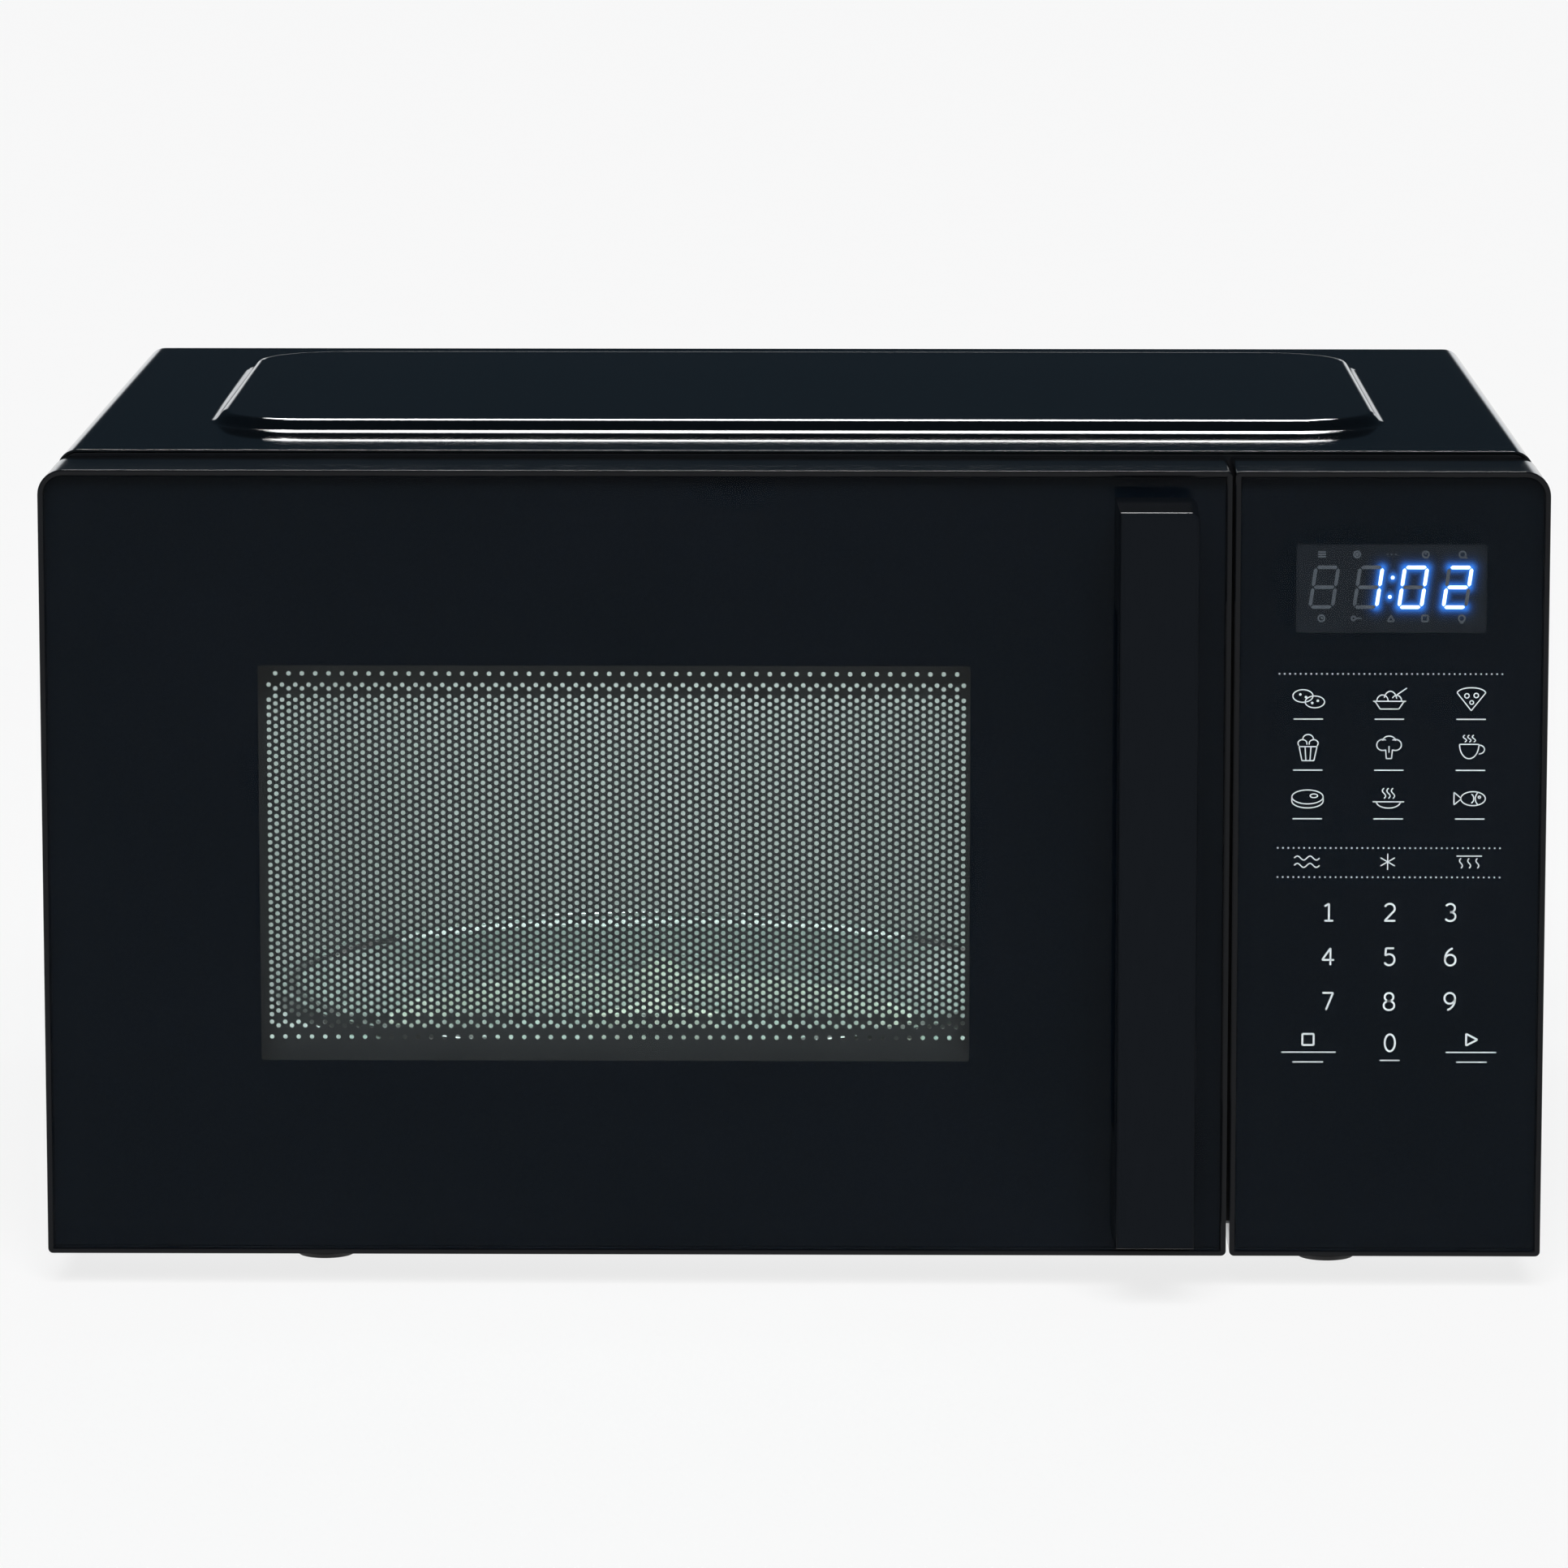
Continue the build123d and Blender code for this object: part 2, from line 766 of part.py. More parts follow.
# Turntable motor: flat can with two ears, hung under the well
motor_bottom = well_under - motor_height
with BuildPart() as turntable_motor:
    with BuildSketch(Plane.XY.offset(motor_bottom)):
        with Locations((cavity_x, tray_y)):
            Circle(motor_radius)
    extrude(amount=motor_height)
    with BuildSketch(Plane.XY.offset(well_under)):
        with Locations((cavity_x, tray_y)):
            SlotCenterToCenter(2 * motor_ear_reach, 2 * motor_ear_radius)
    extrude(amount=-motor_ear_height)
    with BuildSketch(Plane.XY.offset(well_under)):
        with Locations((cavity_x, tray_y)):
            Circle(shaft_radius + running_clearance)
    extrude(amount=-shaft_grip, mode=Mode.SUBTRACT)
    with BuildSketch(Plane.XY.offset(well_under)):
        with Locations((cavity_x - motor_ear_reach, tray_y), (cavity_x + motor_ear_reach, tray_y)):
            Circle(screw_hole_radius)
    extrude(amount=-motor_ear_height, mode=Mode.SUBTRACT)
keep(turntable_motor, "turntable_motor")

# Drive shaft of the turntable motor
coupler_top = tray_bottom
shaft_bottom = well_under - shaft_grip + 2 * running_clearance
shaft_top = coupler_top - coupler_arm_height / 2
with BuildPart() as drive_shaft:
    with BuildSketch(Plane.XY.offset(shaft_bottom)):
        with Locations((cavity_x, tray_y)):
            Circle(shaft_radius)
    extrude(amount=shaft_top - shaft_bottom)
keep(drive_shaft, "drive_shaft")

# Drive coupler: hub with three arms that carry and turn the tray
coupler_bottom = well_floor + coupler_clearance
with BuildPart() as drive_coupler:
    with BuildSketch(Plane.XY.offset(coupler_bottom)):
        with Locations((cavity_x, tray_y)):
            Circle(coupler_hub_radius)
    extrude(amount=coupler_top - coupler_bottom)
    with BuildSketch(Plane.XY.offset(coupler_top)):
        with Locations((cavity_x, tray_y)):
            with PolarLocations(coupler_arm_reach / 2, 3, 90):
                SlotOverall(coupler_arm_reach, coupler_arm_width)
    extrude(amount=-coupler_arm_height)
    with BuildSketch(Plane.XY.offset(coupler_bottom)):
        with Locations((cavity_x, tray_y)):
            Circle(shaft_radius)
    extrude(amount=shaft_top - coupler_bottom, mode=Mode.SUBTRACT)
keep(drive_coupler, "drive_coupler")

# Glass tray: dish with a raised rim and three lugs between the coupler's arms
tray_rim = tray_bottom + tray_rise
lug_start = coupler_hub_radius + tray_lug_gap
with BuildPart() as turntable_glass:
    with BuildSketch(Plane((cavity_x, tray_y, 0), x_dir=(1, 0, 0), z_dir=(0, -1, 0))):
        with BuildLine():
            Polyline(
                (0, tray_bottom),
                (tray_flat_radius, tray_bottom),
                (tray_radius - tray_glass, tray_rim - tray_glass),
                (tray_radius, tray_rim - tray_glass),
                (tray_radius, tray_rim),
                (tray_radius - tray_rim_width, tray_rim),
                (tray_flat_radius - tray_glass / 2, tray_bottom + tray_glass),
                (0, tray_bottom + tray_glass),
                close=True,
            )
        make_face()
    revolve(axis=Axis((cavity_x, tray_y, 0), (0, 0, 1)))
    with BuildSketch(Plane.XY.offset(tray_bottom)):
        with Locations((cavity_x, tray_y)):
            with PolarLocations((lug_start + tray_lug_reach) / 2, 3, 30):
                Rectangle(tray_lug_reach - lug_start, tray_lug_width)
    extrude(amount=-tray_lug_height)
keep(turntable_glass, "turntable_glass")

# Roller ring: flat ring with three stub pins that carry the rollers
roller_level = well_floor + roller_play + roller_radius
ring_outer = roller_track - roller_width / 2 - roller_side_gap
ring_inner = ring_outer - ring_width
roller_angles = (90, 210, 330)
pin_end = roller_track + roller_width / 2 + roller_side_gap
with BuildPart() as roller_ring:
    with BuildSketch(Plane.XY.offset(roller_level - ring_height / 2)):
        with Locations((cavity_x, tray_y)):
            Circle(ring_outer)
            Circle(ring_inner, mode=Mode.SUBTRACT)
    extrude(amount=ring_height)
    for angle in roller_angles:
        outward = (cos(radians(angle)), sin(radians(angle)), 0)
        start = (cavity_x + ring_inner * outward[0], tray_y + ring_inner * outward[1], roller_level)
        with BuildSketch(Plane(start, z_dir=outward)):
            Circle(roller_pin_radius)
        extrude(amount=pin_end - ring_inner)
        tip = (cavity_x + pin_end * outward[0], tray_y + pin_end * outward[1], roller_level)
        with BuildSketch(Plane(tip, z_dir=outward)):
            Circle(2 * roller_pin_radius)
        extrude(amount=roller_pin_radius)
keep(roller_ring, "roller_ring")

# Rollers: small wheels that run in the well and carry the tray
for number, angle in enumerate(roller_angles, start=1):
    outward = (cos(radians(angle)), sin(radians(angle)), 0)
    inside = roller_track - roller_width / 2
    start = (cavity_x + inside * outward[0], tray_y + inside * outward[1], roller_level)
    with BuildPart() as roller:
        with BuildSketch(Plane(start, z_dir=outward)):
            Circle(roller_radius)
            Circle(roller_pin_radius + running_clearance, mode=Mode.SUBTRACT)
        extrude(amount=roller_width)
    keep(roller, f"roller_{number}")

# Waveguide: folded box on the right wall of the cavity, open to the launch window
with BuildPart() as waveguide:
    with BuildSketch(side_plane(bay_left)):
        rect(guide_front, guide_back, tube_z - guide_height / 2, tube_z + guide_height / 2)
    extrude(amount=guide_depth)
    offset(amount=-sheet, openings=[waveguide.faces().sort_by(Axis.X)[0]])
    with BuildSketch(side_plane(bay_left)):
        rect(
            guide_front - guide_flange,
            guide_back + guide_flange,
            tube_z - guide_height / 2 - guide_flange,
            tube_z + guide_height / 2 + guide_flange,
        )
        rect(
            guide_front + sheet,
            guide_back - sheet,
            tube_z - guide_height / 2 + sheet,
            tube_z + guide_height / 2 - sheet,
            mode=Mode.SUBTRACT,
        )
    extrude(amount=sheet)
    with BuildSketch(side_plane(guide_face)):
        with Locations((tube_y, tube_z)):
            Circle(antenna_hole_radius)
    extrude(amount=-sheet, mode=Mode.SUBTRACT)
keep(waveguide, "waveguide")

# Waveguide cover: mica sheet over the launch window inside the cavity
with BuildPart() as waveguide_cover:
    with BuildSketch(side_plane(cavity_right)):
        rect(
            launch_front - mica_lap,
            launch_front + launch_length + mica_lap,
            tube_z - launch_height / 2 - mica_lap,
            tube_z + launch_height / 2 + mica_lap,
        )
    extrude(amount=-mica_thickness)
keep(waveguide_cover, "waveguide_cover")

# Magnetron yoke: steel strap round the tube, open towards the air flow
with BuildPart() as magnetron_yoke:
    with BuildSketch(front_plane(tube_y - yoke_depth / 2)):
        rect(guide_face, yoke_end, tube_z - yoke_height / 2, tube_z + yoke_height / 2)
        rect(
            guide_face + yoke_wall,
            yoke_end - yoke_wall,
            tube_z - yoke_height / 2 + yoke_wall,
            tube_z + yoke_height / 2 - yoke_wall,
            mode=Mode.SUBTRACT,
        )
    extrude(amount=-yoke_depth)
    with BuildSketch(side_plane(guide_face)):
        with Locations((tube_y, tube_z)):
            Circle(antenna_hole_radius)
    extrude(amount=yoke_length, mode=Mode.SUBTRACT)
keep(magnetron_yoke, "magnetron_yoke")

# Magnetron magnets: two ferrite rings inside the yoke
magnet_starts = (guide_face + yoke_wall, yoke_end - yoke_wall - magnet_length)
with BuildPart() as magnetron_magnets:
    for x in magnet_starts:
        with BuildSketch(side_plane(x)):
            with Locations((tube_y, tube_z)):
                Circle(magnet_radius)
                Circle(magnet_bore, mode=Mode.SUBTRACT)
        extrude(amount=magnet_length)
keep(magnetron_magnets, "magnetron_magnets")

# Magnetron tube: anode with its cooling fins, antenna to the left and cathode stem to the right
anode_start = magnet_starts[0] + magnet_length
anode_end = magnet_starts[1]
fin_pitch = (anode_end - anode_start) / fin_count
with BuildPart() as magnetron_tube:
    with BuildSketch(side_plane(anode_start)):
        with Locations((tube_y, tube_z)):
            Circle(anode_radius)
    extrude(amount=anode_end - anode_start)
    with BuildSketch(side_plane(anode_start)):
        with Locations((tube_y, tube_z)):
            Circle(antenna_radius)
    extrude(amount=-(anode_start - guide_face + antenna_length))
    with BuildSketch(side_plane(anode_end)):
        with Locations((tube_y, tube_z)):
            Circle(stem_radius)
    extrude(amount=yoke_end - anode_end + filter_box_length / 2)
    for number in range(fin_count):
        with BuildSketch(side_plane(anode_start + (number + 0.5) * fin_pitch)):
            with Locations((tube_y, tube_z)):
                Rectangle(fin_depth, fin_height)
        extrude(amount=fin_thickness)
keep(magnetron_tube, "magnetron_tube")

# Filter box: shielded box over the cathode stem with a plug socket on its front
with BuildPart() as magnetron_filter_box:
    with BuildSketch(side_plane(yoke_end)):
        with Locations((tube_y, tube_z)):
            Rectangle(filter_box_depth, filter_box_height)
    extrude(amount=filter_box_length)
    offset(amount=-sheet, openings=[magnetron_filter_box.faces().sort_by(Axis.X)[0]])
    with BuildSketch(front_plane(tube_y - filter_box_depth / 2)):
        with Locations((yoke_end + filter_box_length / 2, tube_z)):
            Rectangle(plug_width, plug_height)
    extrude(amount=plug_reach)
keep(magnetron_filter_box, "magnetron_filter_box")

# Transformer core: stacked laminations with two windows, on a foot plate
core_bottom = base_top + core_foot
core_left = core_x - core_width / 2
window_low = core_bottom + core_leg
window_high = core_bottom + core_height - core_leg
core_window = (core_width - 4 * core_leg) / 2
with BuildPart() as transformer_core:
    with BuildSketch(front_plane(core_y - core_stack / 2)):
        rect(core_left, core_left + core_width, core_bottom, core_bottom + core_height)
        for x in (core_left + core_leg, core_left + core_width - core_leg - core_window):
            rect(x, x + core_window, window_low, window_high, mode=Mode.SUBTRACT)
    extrude(amount=-core_stack)
    with BuildSketch(Plane.XY.offset(base_top)):
        with Locations((core_x, core_y)):
            Rectangle(core_width + 2 * core_foot_lap, core_stack)
    extrude(amount=core_foot)
keep(transformer_core, "transformer_core")

# Transformer windings: primary below and secondary above, round the middle leg
winding_height = (window_high - window_low - 3 * winding_play) / 2
winding_lows = (window_low + winding_play, window_low + 2 * winding_play + winding_height)
leg_half = core_leg
winding_half_x = leg_half + core_window - winding_play
with BuildPart() as transformer_windings:
    for z in winding_lows:
        with BuildSketch(Plane.XY.offset(z)):
            with Locations((core_x, core_y)):
                RectangleRounded(2 * winding_half_x, core_stack + 2 * winding_overhang, winding_overhang / 2)
                Rectangle(2 * leg_half, core_stack, mode=Mode.SUBTRACT)
        extrude(amount=winding_height)
keep(transformer_windings, "transformer_windings")

# Capacitor: flat oval can lying in its clamp, terminals to the front
can_bottom = base_top + can_lift
can_z = can_bottom + can_height / 2
with BuildPart() as hv_capacitor:
    with BuildSketch(front_plane(can_front)):
        with Locations((can_x, can_z)):
            SlotOverall(can_width, can_height)
    extrude(amount=-can_length)
    with BuildSketch(front_plane(can_front)):
        for x in (can_x - can_width / 5, can_x + can_width / 5):
            with Locations((x, can_z)):
                Rectangle(sheet, clamp_foot / 2)
    extrude(amount=terminal_height)
keep(hv_capacitor, "hv_capacitor")

# Capacitor clamp: steel strap round the can with a foot on the base plate
clamp_y = can_front + can_length / 2
with BuildPart() as capacitor_clamp:
    with BuildSketch(front_plane(clamp_y - clamp_width / 2)):
        with Locations((can_x, can_z)):
            SlotOverall(can_width + 2 * sheet, can_height + 2 * sheet)
        rect(can_x - can_width / 4, can_x + can_width / 4, base_top, can_z)
        with Locations((can_x, can_z)):
            SlotOverall(can_width, can_height, mode=Mode.SUBTRACT)
    extrude(amount=-clamp_width)
keep(capacitor_clamp, "capacitor_clamp")

# High voltage diode: moulded body with a ring tag screwed to the base plate
with BuildPart() as hv_diode:
    with BuildSketch(front_plane(diode_y - diode_length / 2)):
        with Locations((diode_x, base_top + diode_radius)):
            Circle(diode_radius)
    extrude(amount=-diode_length)
    with BuildSketch(Plane.XY.offset(base_top)):
        with Locations((diode_x, diode_y + diode_length / 2 + diode_radius)):
            Circle(1.5 * diode_radius)
            Circle(screw_hole_radius, mode=Mode.SUBTRACT)
    extrude(amount=sheet)
keep(hv_diode, "hv_diode")

# Fan shroud: moulded box on the rear panel with the fan orifice, the motor bar and pegs for the filter board
shroud_half = shroud_size / 2
shroud_depth = rear_panel_front - shroud_front
shroud_top = fan_z + shroud_half
bar_front = motor_bar_back - motor_bar_depth
filter_y = (shroud_front + rear_panel_front) / 2
filter_peg_spacing_x = filter_board_width - 2 * filter_peg_inset
filter_peg_spacing_y = filter_board_depth - 2 * filter_peg_inset
with BuildPart() as fan_shroud:
    with BuildSketch(front_plane(shroud_front)):
        with Locations((fan_x, fan_z)):
            Rectangle(shroud_size, shroud_size)
    extrude(amount=-shroud_depth)
    offset(amount=-shroud_wall, openings=[fan_shroud.faces().sort_by(Axis.Y)[-1]])
    with BuildSketch(front_plane(shroud_front)):
        with Locations((fan_x, fan_z)):
            Circle(orifice_radius)
    extrude(amount=-shroud_wall, mode=Mode.SUBTRACT)
    with BuildSketch(front_plane(bar_front)):
        with Locations((fan_x, fan_z)):
            Rectangle(shroud_size - shroud_wall, motor_bar_height)
            Circle(fan_shaft_radius + running_clearance, mode=Mode.SUBTRACT)
    extrude(amount=-motor_bar_depth)
    with BuildSketch(Plane.XY.offset(shroud_top)):
        with Locations((fan_x, filter_y)):
            with GridLocations(filter_peg_spacing_x, filter_peg_spacing_y, 2, 2):
                Circle(filter_peg_radius)
    extrude(amount=filter_standoff)
keep(fan_shroud, "fan_shroud")

# Fan motor: laminated stator on the bar, with a strap behind it for the rear bearing
stator_back = motor_bar_back + stator_stack
strap_front = stator_back + bearing_strap_gap
strap_back = strap_front + bearing_strap_thickness
strap_side = fan_x - rotor_radius - strap_post_side
strap_top = fan_z + rotor_radius + strap_post_top
coil_x = fan_x + stator_width / 2 - coil_leg
stator_window = fan_x + rotor_radius + stator_window_gap
with BuildPart() as fan_motor:
    with BuildSketch(front_plane(motor_bar_back)):
        with Locations((fan_x, fan_z)):
            Rectangle(stator_width, stator_height)
            Circle(rotor_radius + rotor_gap, mode=Mode.SUBTRACT)
        rect(
            stator_window,
            coil_x,
            fan_z - stator_height / 2 + coil_leg,
            fan_z + stator_height / 2 - coil_leg,
            mode=Mode.SUBTRACT,
        )
    extrude(amount=-stator_stack)
    with BuildSketch(front_plane(stator_back)):
        with Locations((strap_side, fan_z), (fan_x, strap_top)):
            Circle(2 * screw_radius)
    extrude(amount=-bearing_strap_gap)
    with BuildSketch(front_plane(strap_front)):
        rect(strap_side - strap_margin, fan_x + strap_reach, fan_z - strap_reach, strap_top + strap_margin)
        with Locations((fan_x, fan_z)):
            Circle(fan_shaft_radius + running_clearance, mode=Mode.SUBTRACT)
    extrude(amount=-bearing_strap_thickness)
keep(fan_motor, "fan_motor")

# Fan motor coil: bobbin round the outer leg of the stator
coil_height = stator_height - 2 * coil_leg - 2 * coil_play
with BuildPart() as fan_motor_coil:
    with BuildSketch(Plane.XY.offset(fan_z - coil_height / 2)):
        rect(
            stator_window + coil_play,
            fan_x + stator_width / 2 + coil_wall,
            motor_bar_back + coil_play / 2,
            stator_back + coil_wall,
        )
        rect(coil_x, fan_x + stator_width / 2, motor_bar_back, stator_back, mode=Mode.SUBTRACT)
    extrude(amount=coil_height)
keep(fan_motor_coil, "fan_motor_coil")

# Fan rotor: squirrel cage on its shaft
hub_front = shroud_front + shroud_wall + hub_gap
with BuildPart() as fan_rotor:
    with BuildSketch(front_plane(motor_bar_back + rotor_gap)):
        with Locations((fan_x, fan_z)):
            Circle(rotor_radius)
    extrude(amount=-(stator_stack - rotor_gap))
    with BuildSketch(front_plane(hub_front + hub_length / 4)):
        with Locations((fan_x, fan_z)):
            Circle(fan_shaft_radius)
    extrude(amount=-(strap_back + shaft_tail - hub_front - hub_length / 4))
keep(fan_rotor, "fan_rotor")

# Fan blade: hub with five twisted blades pushed on the shaft
blade_middle = hub_front + hub_length / 2
blade_root = hub_radius - blade_root_sink
blade_ends = (
    (blade_root, blade_chord * blade_root_share, blade_pitch + blade_twist),
    (blade_radius, blade_chord, blade_pitch),
)
with BuildPart() as fan_blade:
    with BuildSketch(front_plane(hub_front)):
        with Locations((fan_x, fan_z)):
            Circle(hub_radius)
    extrude(amount=-hub_length)
    for number in range(blade_count):
        angle = radians(90 + number * 360 / blade_count)
        outward = Vector(cos(angle), 0, sin(angle))
        around = Vector(-sin(angle), 0, cos(angle))
        for radius, chord, pitch in blade_ends:
            chord_line = around * cos(radians(pitch)) + Vector(0, 1, 0) * sin(radians(pitch))
            centre = Vector(fan_x, blade_middle, fan_z) + outward * radius
            with BuildSketch(Plane(centre, x_dir=chord_line, z_dir=outward)):
                Rectangle(chord, blade_thickness)
        loft()
    with BuildSketch(front_plane(hub_front + hub_length / 4)):
        with Locations((fan_x, fan_z)):
            Circle(fan_shaft_radius)
    extrude(amount=-hub_length, mode=Mode.SUBTRACT)
keep(fan_blade, "fan_blade")

# Air duct: bend that leads the air from the magnetron to the slots in the cavity wall
duct_back = tube_y - yoke_depth / 2
duct_right = yoke_end
duct_turn = duct_right - bay_left - duct_mouth
duct_step = guide_front - guide_flange - duct_gap
with BuildPart() as air_duct:
    with BuildSketch(Plane.XY.offset(tube_z - duct_height / 2)):
        with BuildLine():
            Polyline(
                (bay_left, duct_front),
                (duct_right - duct_turn, duct_front),
                (duct_right, duct_front + duct_turn),
                (duct_right, duct_back),
                (guide_face, duct_back),
                (guide_face, duct_step),
                (bay_left, duct_step),
                close=True,
            )
        make_face()
    extrude(amount=duct_height)
    duct_open = [
        air_duct.faces().filter_by(Axis.X).sort_by(Axis.X)[0],
        air_duct.faces().filter_by(Axis.Y).sort_by(Axis.Y)[-1],
    ]
    offset(amount=-duct_wall, openings=duct_open)
keep(air_duct, "air_duct")

# Lamp holder: bent bracket on the cavity wall with the lamp socket
lamp_x = bay_left + lamp_offset
socket_front = lamp_y
with BuildPart() as lamp_holder:
    with BuildSketch(front_plane(socket_front)):
        with Locations((lamp_x, lamp_z)):
            Circle(holder_width / 2)
        rect(bay_left, lamp_x, lamp_z - holder_width / 2, lamp_z + holder_width / 2)
    extrude(amount=-holder_length)
    with BuildSketch(front_plane(socket_front)):
        with Locations((lamp_x, lamp_z)):
            Circle(lamp_neck_radius)
    extrude(amount=-holder_length / 2, mode=Mode.SUBTRACT)
keep(lamp_holder, "lamp_holder")

# Lamp bulb: small pear of glass with its neck in the socket
with BuildPart() as lamp_bulb:
    with BuildSketch(Plane((lamp_x, 0, lamp_z), x_dir=(1, 0, 0), z_dir=(0, 0, 1))):
        with BuildLine():
            tip_y = socket_front - lamp_length
            shoulder_y = tip_y + lamp_radius
            neck_y = socket_front + holder_length / 2
            collar_y = socket_front - lamp_collar
            Polyline(
                (0, tip_y),
                (0, neck_y),
                (lamp_neck_radius, neck_y),
                (lamp_neck_radius, collar_y),
                (lamp_radius, shoulder_y),
            )
            RadiusArc((lamp_radius, shoulder_y), (0, tip_y), lamp_radius)
        make_face()
    revolve(axis=Axis((lamp_x, 0, lamp_z), (0, 1, 0)))
keep(lamp_bulb, "lamp_bulb")

# Grill reflector: pressed steel tray over the slotted part of the roof
with BuildPart() as grill_reflector:
    with BuildSketch(Plane.XY.offset(roof_top)):
        with Locations((cavity_x, tray_y)):
            Rectangle(reflector_length, reflector_depth)
    extrude(amount=reflector_height)
    offset(amount=-sheet, openings=[grill_reflector.faces().sort_by(Axis.Z)[0]])
keep(grill_reflector, "grill_reflector")

# Grill heaters: two quartz tubes across the oven, each with a ceramic block at both ends
heater_z = roof_top + (reflector_height - sheet) / 2
heater_half = reflector_length / 2 - sheet
with BuildPart() as grill_heaters:
    for y in (tray_y - heater_spacing / 2, tray_y + heater_spacing / 2):
        with BuildSketch(side_plane(cavity_x - heater_half)):
            with Locations((y, heater_z)):
                Circle(heater_radius)
        extrude(amount=2 * heater_half)
        for x in (cavity_x - heater_half, cavity_x + heater_half - heater_end_length):
            with BuildSketch(side_plane(x)):
                with Locations((y, heater_z)):
                    Rectangle(heater_end_width, reflector_height - sheet)
            extrude(amount=heater_end_length)
keep(grill_heaters, "grill_heaters")

# Latch board: upright plate behind the front frame with a ledge for each hook
board_left = latch_right + latch_swing_play
ledge_back_y = frame_back + latch_reach - latch_nose_length - ledge_play
ledge_front_y = ledge_back_y - latch_nose_length
with BuildPart() as latch_board:
    with BuildSketch(side_plane(board_left)):
        rect(
            frame_back,
            frame_back + latch_board_depth,
            latch_low - latch_board_margin,
            latch_high + latch_board_margin,
        )
    extrude(amount=latch_board_thickness)
    for z in (latch_low, latch_high):
        with BuildSketch(side_plane(nose_left)):
            rect(ledge_front_y, ledge_back_y, z - latch_nose_drop + ledge_play, z - ledge_play)
        extrude(amount=board_left - nose_left)
keep(latch_board, "latch_board")

# Door switches: snap switches beside the latch board, one under the upper hook and two under the lower
switch_top = {z: z - latch_nose_drop - plunger_stroke for z in (latch_low, latch_high)}
switch_lefts = ((latch_high, board_left - switch_width), (latch_low, board_left - switch_width))
switch_lefts += ((latch_low, board_left - 2 * switch_width - fit),)
nose_middle = ledge_back_y + ledge_play + latch_nose_length / 2
with BuildPart() as door_switches:
    for z, x in switch_lefts:
        with BuildSketch(side_plane(x)):
            with Locations((nose_middle, switch_top[z] - switch_height / 2)):
                Rectangle(switch_length, switch_height)
                with Locations((0, switch_height / 2 - plunger_depth / 2)):
                    Rectangle(
                        plunger_length + 2 * latch_side_play,
                        plunger_depth,
                        mode=Mode.SUBTRACT,
                    )
        extrude(amount=switch_width)
keep(door_switches, "door_switches")

# Switch plungers: pressed down by the hooks while the door is latched
with BuildPart() as switch_plungers:
    for z, x in switch_lefts:
        plunger_left = x + switch_width / 2 - plunger_width / 2
        with BuildSketch(side_plane(plunger_left)):
            rect(
                nose_middle - plunger_length / 2,
                nose_middle + plunger_length / 2,
                switch_top[z] - plunger_depth,
                switch_top[z] + plunger_stroke,
            )
        extrude(amount=plunger_width)
keep(switch_plungers, "switch_plungers")

# Thermal cut-outs: one on the cavity roof, one on the magnetron
cutout_places = (
    (cavity_left + cavity_corner, tray_y, roof_top),
    ((guide_face + yoke_end) / 2, tube_y, tube_z + yoke_height / 2),
)
with BuildPart() as thermal_cutouts:
    for x, y, z in cutout_places:
        with BuildSketch(Plane.XY.offset(z)):
            with Locations((x, y)):
                SlotOverall(cutout_tab, cutout_radius)
        extrude(amount=sheet)
        with BuildSketch(Plane.XY.offset(z)):
            with Locations((x, y)):
                Circle(cutout_radius)
        extrude(amount=cutout_height)
keep(thermal_cutouts, "thermal_cutouts")

# Mains filter board: circuit board on the pegs of the shroud with a choke, two capacitors and a fuse
filter_level = shroud_top + filter_standoff
filter_top = filter_level + board_thickness
with BuildPart() as filter_board:
    with BuildSketch(Plane.XY.offset(filter_level)):
        with Locations((fan_x, filter_y)):
            Rectangle(filter_board_width, filter_board_depth)
    extrude(amount=board_thickness)
    with BuildSketch(Plane.XY.offset(filter_top)):
        with Locations((fan_x + filter_choke_x, filter_y)):
            Circle(filter_choke_radius)
            Circle(filter_choke_bore, mode=Mode.SUBTRACT)
        with Locations((fan_x + filter_can_x, filter_y)):
            with GridLocations(1, 2 * filter_can_y, 1, 2):
                Rectangle(filter_can_length, filter_can_width)
    extrude(amount=filter_part_height)
    with BuildSketch(Plane.XY.offset(filter_top)):
        with Locations((fan_x + fuse_x, filter_y)):
            Rectangle(fuse_width, fuse_length)
    extrude(amount=fuse_height)
keep(filter_board, "filter_board")

# Cord gland: bush in the rear panel, bored for the mains lead
with BuildPart() as cord_gland:
    with BuildSketch(front_plane(rear_panel_back)):
        with Locations((gland_x, gland_z)):
            Circle(gland_flange_radius)
    extrude(amount=-(gland_reach + sheet))
    with BuildSketch(front_plane(rear_panel_back)):
        with Locations((gland_x, gland_z)):
            Circle(gland_radius)
    extrude(amount=gland_inner)
    with BuildSketch(front_plane(rear_face + gland_reach)):
        with Locations((gland_x, gland_z)):
            Circle(gland_bore)
    extrude(amount=gland_reach + 2 * sheet + gland_inner, mode=Mode.SUBTRACT)
keep(cord_gland, "cord_gland")

# Cover screws: pan heads through the lip of the cover into the rear panel
with BuildPart() as cover_screws:
    with BuildSketch(front_plane(rear_face)):
        with Locations(*cover_screw_places):
            Circle(screw_head_radius)
    extrude(amount=-screw_head_height)
    with BuildSketch(front_plane(rear_face)):
        with Locations(*cover_screw_places):
            Circle(screw_radius)
    extrude(amount=screw_length)
keep(cover_screws, "cover_screws")

